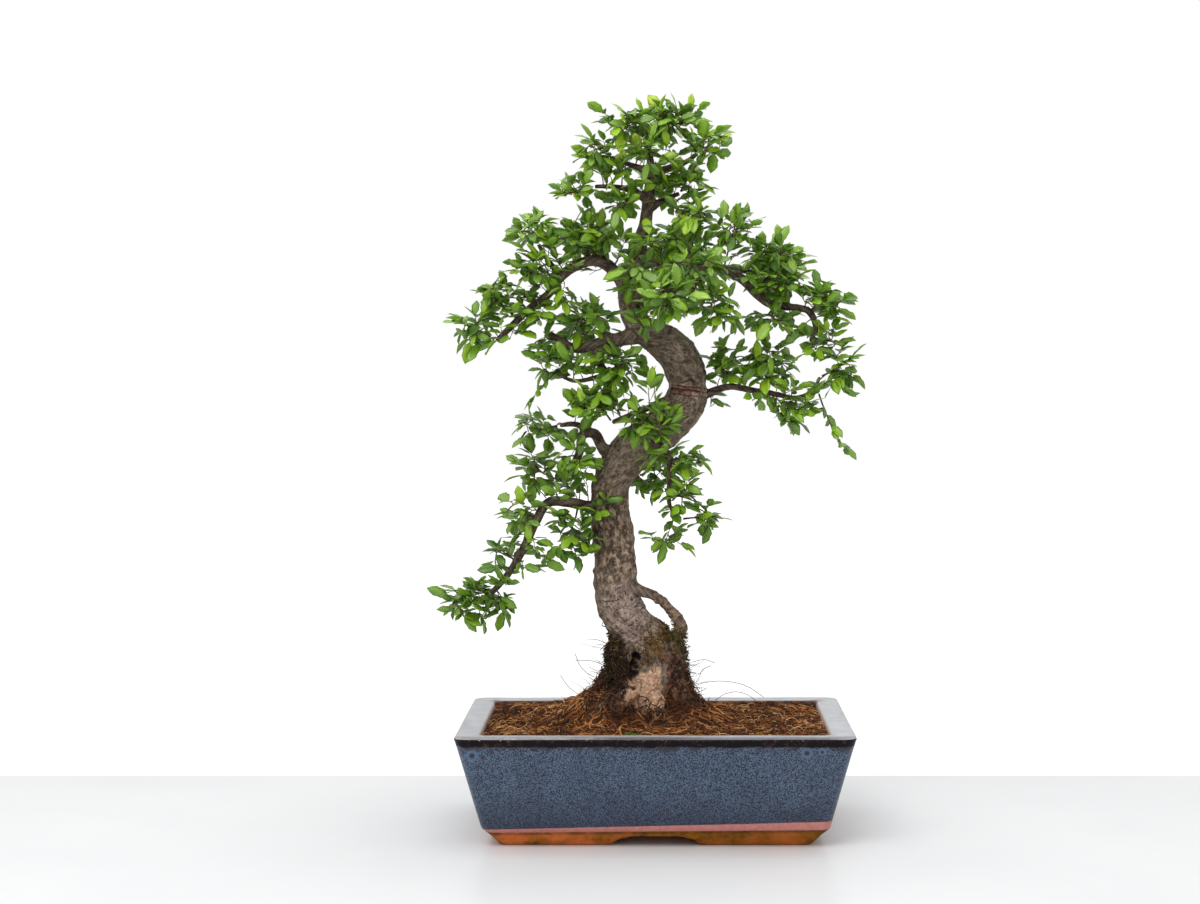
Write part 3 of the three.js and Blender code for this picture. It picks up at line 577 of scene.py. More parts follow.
def makeGlaze():
    # mottled blue glaze on the walls, pale lip over a dark band, bare pink clay above terracotta feet
    glaze = Finish("pot_glaze", Coat_Roughness=0.1)
    patches, mottle = glaze.patches, glaze.mottle
    facing = axes(read(glaze.tree, "NewGeometry", "Normal"))[2]
    x, y, z = axes(glaze.place)

    cloud = patches(0.05, 0.5, 0.28, 1.0)
    worms = patches(0.0009, 0.5, 0.02, 2.0)
    upper = between(z + cloud * 0.02, 0.018, 0.062)
    steel = mottle(((0.061, 0.104, 0.178), (0.104, 0.163, 0.252)), 0.018, 0.5, 0.2, 3.0)
    fringe = between(z + patches(0.010, 0.48, 0.12, 5.0) * 0.0075, 0.0845, 0.0895)
    color = layered(
        blend(cloud, (0.006, 0.006, 0.018), (0.012, 0.014, 0.034)),
        (worms * (upper * 0.70 + 0.22), steel),
        (patches(0.0028, 0.3, 0.05, 4.0) * 0.5, (0.008, 0.011, 0.028)),
        (fringe * patches(0.0026, 0.62, 0.15, 5.5) * 0.9, (0.014, 0.010, 0.014)),
        (patches(0.0013, 0.34, 0.03, 6.0) * patches(0.03, 0.5, 0.2, 7.0) * 0.6, (0.20, 0.26, 0.34)),
        (patches(0.0026, 0.27, 0.03, 8.0) * 0.5, (0.085, 0.045, 0.035)))
    flat = read(glaze.tree, "CombineXYZ", 0, {"X": x, "Z": z})
    for markX, markZ, radius in glazeMarks:
        centre = (potMiddle[0] + markX * mm, 0, markZ * mm)
        away = read(glaze.tree, "VectorMath", "Value", {0: flat, 1: centre}, operation="DISTANCE")
        color = layered(
            color, (between(away, radius * 1.5 * mm, radius * 0.8 * mm) * 0.6, (0.085, 0.155, 0.27)),
            (between(away, radius * 0.7 * mm, radius * 0.35 * mm), (0.02, 0.018, 0.02)))

    # the ragged dark band under the lip and the chips on its edge
    bandEdge = z + patches(0.009, 0.5, 0.5, 9.0) * 0.0044 + patches(0.0024, 0.5, 0.4, 10.0) * 0.0018
    band = between(bandEdge, 0.0876, 0.0886) * between(z, 0.0916, 0.0906)
    bandColor = mottle(((0.006, 0.004, 0.005), (0.048, 0.022, 0.014)), 0.004, 0.38, 0.08, 11.0)
    edge = between(z, 0.0893, 0.0899) * between(z, 0.0918, 0.0912)
    chips = edge * patches(0.0016, 0.36, 0.05, 11.5) * 0.8
    color = layered(color, (band, bandColor), (chips, (0.50, 0.44, 0.40)))

    # the lip, greyer and darker towards its front edge, and the inner wall above the soil
    lip = between(facing, 0.6, 0.85) * between(z, 0.0895, 0.0905)
    frontDark = between(x + patches(0.02, 0.5, 0.3, 13.7) * 0.05, -0.04, 0.0)
    frontDark = frontDark * between(x, 0.160, 0.140) * between(y, -0.0935, -0.0965)
    lipColor = layered(
        mottle(((0.43, 0.445, 0.48), (0.60, 0.61, 0.63)), 0.014, 0.5, 0.25, 12.0),
        (patches(0.006, 0.36, 0.12, 13.0) * 0.5, (0.24, 0.285, 0.36)),
        (between(y, -0.0915, -0.0945) * patches(0.0045, 0.5, 0.2, 13.5) * 0.8, (0.12, 0.085, 0.08)),
        (between(y, -0.088, -0.091) * patches(0.013, 0.5, 0.15, 13.6) * 0.6, (0.21, 0.18, 0.185)),
        (frontDark * 0.7, (0.045, 0.050, 0.072)))
    worn = between(z, 0.080, 0.086) * glaze.mark("inner")
    innerColor = mottle(((0.16, 0.075, 0.045), (0.022, 0.018, 0.024)), 0.006, 0.45, 0.1, 13.8)

    # bare clay at the foot of the walls, and terracotta feet with ochre and dark stains
    bare = between(z - x * 0.0255 + patches(0.03, 0.5, 0.5, 14.0) * 0.0009, 0.0194, 0.0188)
    clay = mottle(((0.46, 0.160, 0.14), (0.54, 0.245, 0.215)), 0.004, 0.5, 0.2, 15.0)
    footEdge = z - x * 0.011
    terracotta = mottle(((0.66, 0.20, 0.048), (0.48, 0.12, 0.03)), 0.006, 0.5, 0.2, 16.0)
    ochre = mottle(((0.34, 0.125, 0.010), (0.085, 0.030, 0.010)), 0.005, 0.45, 0.15, 17.0)
    ends = abs(x - potMiddle[0]) + patches(0.012, 0.5, 0.2, 18.8) * 0.016
    footColor = layered(
        blend(patches(0.05, 0.5, 0.06, 18.5), terracotta, ochre),
        (between(x, 0.03, 0.05) * 0.35, (0.20, 0.075, 0.008)),
        (between(ends, 0.130, 0.146) * 0.75, (0.10, 0.048, 0.012)),
        (between(footEdge, 0.0098, 0.0122) * patches(0.012, 0.55, 0.2, 19.0) * 0.85, (0.060, 0.028, 0.012)))
    color = layered(
        color, (lip, lipColor), (worn, (0.50, 0.44, 0.42)), (worn * between(y, 0.078, 0.084), innerColor),
        (bare, clay), (between(footEdge, 0.0142, 0.0132), footColor))

    glossy = 1.0 - bare - band * 0.85
    relief = patches(0.006, 0.5, 0.5, 20.0, "Value") + worms * 0.3 + band * 0.4
    return glaze.done(color, (relief, 0.4, 0.0007), Roughness=blendNumbers(bare, worms * 0.12 + 0.3, 0.62),
                      Coat_Weight=glossy * 0.3, Specular_IOR_Level=glossy * 0.22 + 0.04)


def cutDrains(piece):
    # a round hole through the floor on each side, cut once and kept in the mesh
    for side in (-1, 1):
        place = (potMiddle[0] + side * pot["drainOffset"] * mm, potMiddle[1], 0.015)
        bpy.ops.mesh.primitive_cylinder_add(vertices=40, radius=pot["drainRadius"] * mm, depth=0.04,
                                            location=place)
        cutter = bpy.context.object
        cut = piece.modifiers.new("drain", "BOOLEAN")
        cut.operation, cut.solver, cut.object = "DIFFERENCE", "EXACT", cutter
        settleModifiers(piece)
        bpy.data.objects.remove(cutter)


def addPot():
    # the inner wall is marked with 1 behind the lip's inner edge, for the worn glaze there
    piece = addPiece("pot_body", makePotMesh(makeGlaze()), ["pot"])
    cutDrains(piece)
    x, y = np.abs(placesOf(piece.data)).T[:2]
    inward = np.minimum(pot["halfWidth"] - x, pot["halfDepth"] - y)
    addAttributes(piece.data, dict(inner=np.clip((inward - pot["innerFrom"]) / 1.2, 0, 1)))
    piece.data.set_sharp_from_angle(angle=math.radians(40))


def finishScreens():
    # dark plastic dusted with earth on the two drain screens, which keep their solids
    finish = Finish("screen_plastic", Roughness=0.55)
    colors = (0.012, 0.012, 0.013), (0.05, 0.035, 0.022)
    material = finish.done(finish.mottle(colors, 0.004, 0.4, 0.2, 20.0))
    for name in ("drain_screen_left", "drain_screen_right"):
        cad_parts[name].data.materials.clear()
        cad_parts[name].data.materials.append(material)


addPot()
finishScreens()
print("pot ready")


# Soil: a fine mound with fibres, thin roots and crumbs over it

soil = dict(halfWidth=140.2, halfDepth=87.7, top=90.0, bottom=22.6, corner=5.0, mound=34.0,
            reachRight=76.0, reachLeft=122.0, reachFront=44.0, grid=(160, 104),
            fibres=4400, roots=170, crumbs=1100, wander=0.4)


def moundHeight(x, y):
    # a smooth hill round the trunk's foot that reaches furthest to the left and least to the front
    distance = np.maximum(np.hypot(x + 5, y), 1)
    leftward = (1 - (x + 5) / distance) / 2
    frontward = np.maximum(-y / distance, 0) ** 2
    reach = soil["reachRight"] + (soil["reachLeft"] - soil["reachRight"]) * leftward
    reach = reach + (soil["reachFront"] - reach) * frontward
    share = np.minimum(distance / reach, 1)
    return soil["mound"] * (1 - share * share * (3 - 2 * share))


def soilHeight(x, y):
    # the mound plus lumps, lower where it meets the lip
    points = np.stack([x, y, np.zeros_like(x)], axis=-1).reshape(-1, 3)
    lumps = layeredNoise(points, 14.0, 31, 4).reshape(np.shape(x)) * 2.0
    edge = np.minimum(soil["halfWidth"] - np.abs(x), soil["halfDepth"] - np.abs(y))
    lumps = lumps * np.clip(edge / 16, 0.2, 1)
    return soil["top"] + moundHeight(x, y) + lumps - 2.4 * np.clip(1 - edge / 18, 0, 1)


def makeSoilMaterial():
    # rust-brown earth with pale flecks, and black patches of painted shade for the deep gaps between fibres
    earth = Finish("soil", Roughness=0.95, Specular_IOR_Level=0.15)
    color = layered(
        earth.mottle(((0.040, 0.013, 0.005), (0.21, 0.072, 0.020)), 0.009, 0.5, 0.3, 21.0),
        # black patches: painted shade standing in for the deep gaps between fibres
        (earth.patches(0.0026, 0.45, 0.08, 22.0), (0.010, 0.004, 0.002)),
        (earth.patches(0.0018, 0.36, 0.05, 23.0), (0.42, 0.18, 0.055)))
    return earth.done(color, (earth.patches(0.0018, 0.5, 0.5, 24.0, "Value"), 0.9, 0.0015))


def makeStrandMaterial(name, stops, roughness=0.85, areas=0.9):
    # each strand takes its colour from its own tone, with darker specks along it
    strand = Finish(name, Roughness=roughness, Specular_IOR_Level=0.25)
    tone = strand.mark("tone") + (strand.patches(0.045, 0.5, 0.5, 26.0, "Value") - 0.5) * areas
    speck = strand.patches(0.006, 0.45, 0.15, 25.0) * 0.55
    return strand.done(blend(speck, ramp(tone, stops), (0.035, 0.015, 0.008)))


def makeSoilMesh(material):
    # a grid with rounded corners on top, walls that slope inwards below and a flat bottom
    columns, rows = soil["grid"]
    x, y = np.meshgrid(np.linspace(-1, 1, columns) * soil["halfWidth"],
                       np.linspace(-1, 1, rows) * soil["halfDepth"])
    corner = soil["corner"]
    overX = np.maximum(np.abs(x) - (soil["halfWidth"] - corner), 0)
    overY = np.maximum(np.abs(y) - (soil["halfDepth"] - corner), 0)
    over = np.maximum(np.hypot(overX, overY), 1e-9)
    pull = np.where(over > corner, 1 - corner / over, 0)
    x, y = x - np.sign(x) * overX * pull, y - np.sign(y) * overY * pull
    top = np.stack([x, y, soilHeight(x, y)], axis=-1).reshape(-1, 3)
    quads = gridQuads(rows, columns)
    number = np.arange(rows * columns).reshape(rows, columns)
    edge = np.concatenate([number[0], number[1:, -1], number[-1, -2::-1], number[-2:0:-1, 0]])
    lowEdge = np.arange(len(edge)) + len(top)
    shrink = np.array([1 - 11.0 / soil["halfWidth"], 1 - 11.0 / soil["halfDepth"]])
    low = np.column_stack([top[edge, :2] * shrink, np.full(len(edge), soil["bottom"])])
    walls = np.stack([edge, lowEdge, np.roll(lowEdge, -1), np.roll(edge, -1)], axis=1)
    loops = np.concatenate([quads.ravel(), walls.ravel(), lowEdge[::-1]])
    counts = np.concatenate([np.full(len(quads) + len(walls), 4), [len(edge)]])
    points = np.concatenate([top, low])
    return makeMesh(points, loops, counts, material)


def surfaceStrands(count, seed, lengths, thickness, lift, steps=6, spread=None):
    # strands that wander over the soil: a heading that turns steadily, at a height over the mound, darker
    # near the trunk's front foot as painted shade
    random = np.random.default_rng(seed)
    if spread is None:
        x = random.uniform(-soil["halfWidth"] + 3, soil["halfWidth"] - 3, count)
        y = random.uniform(-soil["halfDepth"] + 3, soil["halfDepth"] - 3, count)
        heading = random.uniform(0, 2 * np.pi, count)
    else:
        around = random.uniform(0, 2 * np.pi, count)
        reach = random.uniform(*spread, count)
        x, y = -8 + reach * np.cos(around), reach * np.sin(around)
        heading = around + random.normal(0, 0.6, count)
    length = random.uniform(*lengths, count)
    turning = random.normal(0, 1.5, count)
    share = np.linspace(0, 1, steps)
    paths = np.zeros((count, steps, 3))
    for step in range(steps):
        if step:
            x = x + np.cos(heading) * length / (steps - 1)
            y = y + np.sin(heading) * length / (steps - 1)
            heading = heading + turning / (steps - 1) + random.normal(0, soil["wander"], count)
        x = np.clip(x, -soil["halfWidth"] + 1.5, soil["halfWidth"] - 1.5)
        y = np.clip(y, -soil["halfDepth"] + 1.5, soil["halfDepth"] - 1.5)
        paths[:, step, 0], paths[:, step, 1] = x, y
    arch = random.uniform(*lift, count)[:, None] * np.sin(np.pi * share) - 0.3
    paths[:, :, 2] = soilHeight(paths[..., 0], paths[..., 1]) + arch
    radii = random.uniform(*thickness, count)[:, None] * (1 - 0.6 * share)
    # strands that start near the trunk's front foot get lower tones: painted shade under the trunk
    away = np.hypot(paths[:, 0, 0] + 8, paths[:, 0, 1] + 12)
    return paths, radii, random.beta(0.6, 0.75, count) * np.clip(away / 46, 0.3, 1)


def addSoil():
    # the bed, then strands in three sizes: fibres, thin roots and crumbs
    addPiece("soil_bed", makeSoilMesh(makeSoilMaterial()), ["soil"])
    material = makeStrandMaterial("soil_fibre", [
        (0.0, (0.012, 0.005, 0.003)), (0.25, (0.09, 0.029, 0.010)), (0.55, (0.38, 0.128, 0.031)),
        (0.8, (0.66, 0.28, 0.078)), (1.0, (0.88, 0.55, 0.25))])
    paths, radii, tones = surfaceStrands(soil["fibres"], 41, (6, 22), (0.2, 0.48), (0.4, 3.4))
    addPiece("soil_fibres", strandMesh(paths, radii, 3, material, tones ** 1.1))
    paths, radii, tones = surfaceStrands(soil["roots"], 43, (26, 80), (0.5, 1.2), (0.5, 3.0), 16, (24, 60))
    addPiece("soil_roots", strandMesh(paths, radii, 5, material, 0.15 + tones * 0.7))
    paths, radii, tones = surfaceStrands(soil["crumbs"], 47, (1.6, 5.5), (0.6, 1.5), (0.3, 1.6), 4)
    addPiece("soil_crumbs", strandMesh(paths, radii, 5, material, tones * 0.45))


addSoil()
print("soil ready")


# Wood: routes in millimetres, each point x, y, z and radius

trunkRoute = [
    (-12, 0, 76, 31), (-11, 0, 98, 29), (-7, 0, 116, 25.5), (1, 0, 128, 21), (3, 1, 140, 19),
    (-5, 2, 154, 20), (-18.5, 3, 168, 19.4), (-28.5, 4, 184, 18.9), (-32.5, 5, 202, 18.3),
    (-33, 6, 223, 17), (-35, 6, 249, 17.5), (-38, 5, 270, 15.8), (-35, 3, 291, 16), (-22, 0, 311, 17.5),
    (-3, -3, 327, 17.5), (16, -6, 342, 17), (26, -8, 357, 17), (28, -8, 371, 15.3), (24, -7, 387, 16.5),
    (14, -5, 401, 15.5), (0, -2, 411, 13.5), (-13, 1, 420, 10.5), (-20, 3, 433, 8.4), (-21, 4, 450, 8),
    (-18, 5, 467, 7.4), (-11, 4, 486, 6.6), (-6, 2, 505, 5.6), (-4, 0, 523, 5), (-2, -1, 540, 4.2),
    (-2, -1, 556, 3.2), (-4, 0, 571, 2.2)]
rootLoopRoute = [
    (-24, 0, 206, 6), (-11, -8, 198.5, 4.6), (-3, -12, 196.5, 4), (5, -14, 192, 3.8), (12, -15, 185.5, 3.8),
    (18, -15, 178, 4.2), (21, -13, 171, 4.8), (19.5, -9, 163, 5.2), (13, -4, 152, 5.5)]
branchRoutes = dict(
    leftUpper=[(-20, 4, 447, 6), (-30, 0, 462, 5.6), (-45, -6, 473, 5), (-62, -10, 470, 4.5),
        (-77, -12, 459, 4.1), (-86, -12, 446, 3.8), (-102, -12, 434, 3.4), (-118, -10, 419, 3),
        (-130, -8, 407, 2.4)],
    leftUpperTwig=[(-76, -12, 459, 2.6), (-88, -9, 475, 2.2), (-95, -6, 487, 1.9)],
    leftUpperBack=[(-32, 0, 463, 3.4), (-43, 18, 471, 2.8), (-55, 34, 479, 2.2)],
    rightUpper=[(-16, 5, 470, 5.4), (10, 8, 474, 5), (39, 6, 470, 4.7), (74, 0, 457, 4.4),
        (88, -3, 444, 4.6), (97, -5, 437, 4.2), (113, -6, 434, 3.4), (129, -6, 430, 3), (134, -6, 418, 2.6),
        (130, -6, 405, 2)],
    rightUpperTwig=[(86, -3, 446, 2.8), (98, 0, 461, 2.5), (104, 2, 472, 2.1)],
    rightUpperBack=[(37, 6, 470, 3.2), (60, 22, 468, 2.7), (84, 36, 464, 2.1)],
    leftMiddle=[(-6, -1, 414, 7), (-28, -5, 408, 6), (-44, -9, 405, 5), (-66, -12, 401, 3.8),
        (-77, -13, 408, 3), (-87, -13, 414, 2.2)],
    leftMiddleFork=[(-42, -9, 405, 3.8), (-47, -14, 392, 3.4), (-40, -18, 380, 2.8), (-50, -20, 376, 2.3),
        (-66, -20, 374, 1.9), (-80, -18, 380, 1.6)],
    leftMiddleBack=[(-26, -4, 408, 3.6), (-36, 16, 411, 2.8), (-47, 34, 412, 2.1)],
    rightMiddle=[(26, -6, 355, 4.2), (46, -4, 363, 3.6), (60, -2, 368, 3), (83, -3, 365, 2.7),
        (101, -4, 362, 2.5), (120, -4, 359, 2.2), (132, -3, 365, 2), (138, -1, 376, 1.7)],
    lowLeftKnot=[(-26, 0, 308, 6.5), (-42, -3, 317, 5.2), (-50, -6, 330, 4.4), (-58, -10, 330, 4),
        (-62, -13, 314, 3.8), (-69, -14, 301, 3.2), (-78, -14, 291, 2.6)],
    lowLeftTwig=[(-52, -8, 331, 2.6), (-66, -10, 338, 2.2), (-78, -12, 337, 1.9)],
    lowLeft=[(-36, 4, 268, 5.6), (-55, -4, 269, 4.8), (-72, -8, 273, 4.4), (-88, -11, 273, 4.2),
        (-97, -12, 260, 4), (-107, -12, 238, 3.6), (-116, -11, 222, 3.2), (-127, -10, 207, 2.8),
        (-139, -9, 195, 2.4), (-152, -8, 188, 2)],
    lowRightFront=[(-3, -8, 326, 4), (5, -28, 321, 3.2), (12, -38, 312, 2.8), (13, -43, 299, 2.4),
        (12, -44, 285, 2.2), (13, -44, 272, 1.9), (22, -42, 261, 1.6)],
    frontMiddle=[(16, -12, 355, 4), (8, -25, 357, 3.2), (-3, -31, 352, 2.8), (-19, -36, 346, 2.4),
        (-34, -38, 340, 2)],
    frontCentre=[(-15, 0, 425, 5), (-13, -20, 436, 4.2), (-8, -42, 443, 3.6), (4, -62, 445, 3),
        (10, -76, 443, 2.4)],
    frontCentreRight=[(-8, -40, 442, 2.8), (14, -50, 447, 2.4), (34, -52, 447, 2)],
    backCentre=[(-20, 4, 438, 5), (-14, 24, 448, 4), (0, 46, 457, 3.2), (14, 68, 458, 2.4)],
    lowBack=[(-34, 6, 284, 4), (-26, 24, 288, 3), (-14, 38, 292, 2.2)],
    crownRight=[(-3, 0, 545, 3.2), (12, -3, 549, 2.8), (27, -4, 554, 2.3), (37, -4, 561, 1.8)],
    crownLeft=[(-3, 0, 547, 3), (-15, -2, 551, 2.4), (-28, -4, 556, 2)],
    crownLowLeft=[(-4, 0, 524, 3.2), (-18, -5, 531, 2.7), (-34, -9, 534, 2.2), (-48, -10, 534, 1.8)],
    crownLowRight=[(-4, 0, 516, 3.2), (8, 3, 523, 2.6), (22, 5, 529, 2)])
rootRoutes = [
    [(10, -6, 118, 9), (26, -16, 106, 6.5), (42, -24, 90, 4)],
    [(-2, -16, 114, 9), (2, -28, 101, 7), (9, -43, 87, 4.5)],
    [(-24, -12, 116, 9), (-40, -26, 107, 6.5), (-56, -38, 93, 4)],
    [(-26, 8, 118, 9), (-48, 14, 108, 6.5), (-68, 18, 98, 4)],
    [(-6, 18, 118, 9), (0, 36, 107, 6.5), (8, 52, 95, 4)],
    [(-22, -2, 160, 6), (-33, -4, 149, 7.5), (-34, -5, 137, 7), (-39, -6, 124, 8), (-50, -8, 110, 8),
     (-60, -9, 99, 5)],
    [(-20, -10, 152, 5.5), (-26, -15, 138, 6), (-27, -19, 122, 6.5), (-33, -25, 107, 6), (-37, -29, 97, 4)],
    [(-13, -17, 120, 7), (-28, -25, 111, 9), (-35, -29, 102, 7)],
    [(14, -5, 160, 7), (20, -8, 143, 6), (20, -8, 125, 7), (27, -10, 111, 7), (37, -13, 99, 5)],
    [(-14, 4, 152, 7), (-23, 5, 140, 8), (-28, 5, 126, 8)]]
wood = dict(voxel=1.25, ridges=0.07, lobes=5, lump=0.055, knot=0.055, roughness=0.7, grain=0.62)


def ridgedShape(points, angle):
    # a wavy section: stronger ridges near the soil that fade up the trunk
    depth = wood["ridges"] * (np.exp(-np.maximum(points[:, 2] - 98, 0) / 30) + 0.25)
    turn = np.linspace(0, 0.35 * len(trunkRoute), len(points))
    return 1 + depth[:, None] * np.cos(wood["lobes"] * angle + turn[:, None])


def collar(route):
    # the first stretch of a branch swells where it leaves thicker wood
    distance = lengthAlong(route[:, :3])
    grown = route.copy()
    grown[:, 3] *= 1 + 0.45 * np.exp(-np.maximum(distance - 4, 0) / 6)
    return grown


def nearestRoute(points, route):
    # for each point: distance to a route's centre line, length along it there, its radius, and the way out
    route = np.asarray(route, dtype=float)
    starts, ends = route[:-1], route[1:]
    runs = ends[:, :3] - starts[:, :3]
    lengths = np.linalg.norm(runs, axis=1)
    before = np.concatenate([[0], np.cumsum(lengths)[:-1]])
    best = np.full(len(points), np.inf)
    along = np.zeros(len(points))
    radius = np.zeros(len(points))
    outward = np.zeros_like(points)
    for start, end, run, length, passed in zip(starts, ends, runs, lengths, before):
        share = np.clip((points - start[:3]) @ run / length ** 2, 0, 1)
        offset = points - start[:3] - share[:, None] * run
        distance = np.linalg.norm(offset, axis=1)
        closer = distance < best
        best = np.where(closer, distance, best)
        along = np.where(closer, passed + share * length, along)
        radius = np.where(closer, start[3] + share * (end[3] - start[3]), radius)
        outward = np.where(closer[:, None], offset, outward)
    return best, along, radius, outward


# places along the trunk in millimetres, with how deep each runs
cracks = [
    (97, 0.3), (101, 0.5), (105, 0.3), (108, 0.5), (113, 0.5), (117, 0.3), (121, 0.4), (127, 0.3),
    (300, 0.3), (311, 0.3), (322, 0.4), (329, 0.5), (334, 0.7), (338, 0.6), (344, 0.4), (352, 0.5),
    (375, 0.4)]


def spotMask(points, spots):
    # 1 inside round spots of x, y, z and radius, with a ragged edge
    mask = np.zeros(len(points))
    ragged = layeredNoise(points, 6.0, 61, 4)
    for x, y, z, radius in spots:
        distance = np.linalg.norm(points - np.array([x, y, z]), axis=1) / radius + ragged * 0.45
        mask = np.maximum(mask, np.clip((1.1 - distance) * 3, 0, 1))
    return mask


woodSpots = dict(
    bare=[(-8, -27, 125, 12), (-16, -28, 114, 13), (0, -28, 114, 13), (-8, -30, 103, 12), (0, -22, 131, 9),
        (-22, -26, 112, 9)],
    knotHole=[(-18, -27, 120, 2.6), (-25, -12, 259, 4), (-40, -12, 226, 2.5), (8, -22, 340, 3)],
    ribs=[(17, -14, 152, 8), (16, -16, 143, 9), (18, -14, 134, 9), (15, -20, 126, 9), (20, -14, 120, 9),
        (16, -20, 112, 8), (11, -22, 141, 7), (13, -23, 130, 7), (13, -25, 119, 6), (6, -26, 131, 6),
        (7, -27, 121, 6), (7, -26, 112, 6), (6, -24, 141, 6)],
    lump=[(-29, -32, 110, 10), (-36, -32, 104, 8)],
    # the hollow between the root mass and the trunk: sunk a little and painted near black as painted shade
    shadedCavity=[(-19, -8, 157, 4), (-18, -11, 151, 4.5), (-16, -13, 145, 5), (-16, -15, 139, 5.5),
        (-18, -17, 132, 5)],
    rootSide=[(-36, -8, 150, 13), (-36, -10, 137, 12), (-42, -12, 122, 14), (-54, -12, 108, 14),
        (-28, -14, 144, 8), (-28, -18, 134, 7), (-30, -22, 124, 7), (28, -12, 112, 10), (37, -14, 102, 9),
        (-38, -27, 106, 12), (-24, -20, 129, 6), (-22, -15, 139, 5), (-50, -34, 97, 12), (3, -34, 97, 10),
        (8, -42, 89, 12), (28, -20, 102, 12), (40, -24, 92, 9), (-31, -17, 147, 11), (-30, -20, 137, 11),
        (-29, -23, 128, 10)],
    ochreMoss=[(0, -22, 158, 9), (2, -20, 150, 6)],
    greenMoss=[(14, -14, 160, 7), (20, -12, 158, 8), (22, -8, 152, 6)],
    paleBark=[(-16, -18, 178, 22), (-8, -18, 165, 16), (-24, -14, 196, 20)],
    scar=[(27, -20, 366, 15)],
    coarse=[(-34, -8, 222, 20), (-37, -8, 244, 22), (-39, -8, 268, 18), (-30, -8, 236, 20)],
    loop=[(12, -15, 186, 8), (18, -15, 179, 9), (22, -13, 171, 9), (20, -9, 162, 9), (5, -14, 192, 7)])


def addWood():
    # every route as a closed tube, all fused into one skin and then shaped into bark
    tubes = [tubePoints(smoothRoute(trunkRoute, 3.0), 64, ridgedShape),
             tubePoints(smoothRoute(rootLoopRoute, 2.0), 24)]
    tubes += [tubePoints(collar(smoothRoute(route, 2.0)), 16) for route in branchRoutes.values()]
    tubes += [tubePoints(smoothRoute(route, 2.0), 20) for route in rootRoutes]
    loops, counts, points = [], [], []
    for tube in tubes:
        tubeLoops, tubeCounts = tubeFaces(*tube.shape[:2], sum(map(len, points)))
        loops.append(tubeLoops)
        counts.append(tubeCounts)
        points.append(tube.reshape(-1, 3))
    mesh = makeMesh(np.concatenate(points), np.concatenate(loops), np.concatenate(counts), makeBark())
    piece = addPiece("tree", mesh, ["tree_wood"])
    fuseTubes = piece.modifiers.new("fuse", "REMESH")
    fuseTubes.mode, fuseTubes.voxel_size = "VOXEL", wood["voxel"] * mm
    settle = piece.modifiers.new("settle", "SMOOTH")
    settle.factor, settle.iterations = 0.5, 3
    settleModifiers(piece)
    shapeBark(piece.data)
    return piece


def shapeBark(mesh):
    # lumps that grow with the wood's thickness, fine roughness, and cracks across the trunk
    places = placesOf(mesh)
    normals = readPoints(mesh, "normal")
    trunkDistance, trunkAlong, trunkRadius, _ = nearestRoute(places, trunkRoute)
    isTrunk = np.clip((trunkRadius * 1.35 - trunkDistance) / 2, 0, 1)
    thickness = np.full(len(places), 99.0)
    gap = np.full(len(places), np.inf)
    grain = np.zeros_like(places)
    for route in [trunkRoute, rootLoopRoute, *branchRoutes.values(), *rootRoutes]:
        distance, along, radius, outward = nearestRoute(places, route)
        closer = distance - radius < gap
        thickness = np.where(closer, radius, thickness)
        gap = np.where(closer, distance - radius, gap)
        outward[:, 2] += along * wood["grain"]
        grain = np.where(closer[:, None], outward, grain)
    size = np.clip(thickness, 2, 20)
    marks = {key: spotMask(places, spots) for key, spots in woodSpots.items()}
    lift = layeredNoise(places, 17.0, 51, 2) * wood["lump"] * size
    lift += latticeNoise(places, 6.0, 53) * wood["knot"] * size
    rough = np.clip(size / 16, 0.3, 1) * wood["roughness"] * (1 + marks["coarse"])
    lift += layeredNoise(grain, 3.6, 55, 2) * rough
    lift += np.abs(latticeNoise(grain, 5.0, 59)) * marks["ribs"] * 2.2
    loopLift = np.abs(latticeNoise(places, 6.0, 63)) * 2.0 + layeredNoise(places, 2.6, 64, 2) * 0.7
    lift += loopLift * marks["loop"]
    lift += layeredNoise(places, 3.5, 60, 2) * (marks["rootSide"] + marks["lump"]) * 1.3
    lift -= marks["shadedCavity"] * 1.0 + marks["knotHole"] * 1.2
    wander = layeredNoise(places, 14.0, 57, 2)
    fissure = np.zeros(len(places))
    for place, depth in cracks:
        sharp = np.exp(-((trunkAlong + wander * 4 - place) / 0.9) ** 2)
        broken = np.clip(latticeNoise(places, 12.0, int(place)) + 0.5, 0, 1)
        fissure = np.maximum(fissure, sharp * depth * broken)
    lift -= fissure * 1.2 * isTrunk
    places = places + normals * lift[:, None]
    mesh.vertices.foreach_set("co", (places * mm + potMiddle).astype(np.float32).ravel())
    marks["fissure"] = np.clip(fissure * isTrunk * 1.6, 0, 1)
    marks["thin"] = np.clip(1 - (thickness - 2.5) / 6, 0, 1)
    marks["along"] = trunkAlong * mm
    addAttributes(mesh, marks)
    mesh.attributes.new("grain", "FLOAT_VECTOR", "POINT").data.foreach_set(
        "vector", (grain * mm).astype(np.float32).ravel())
    mesh.update()


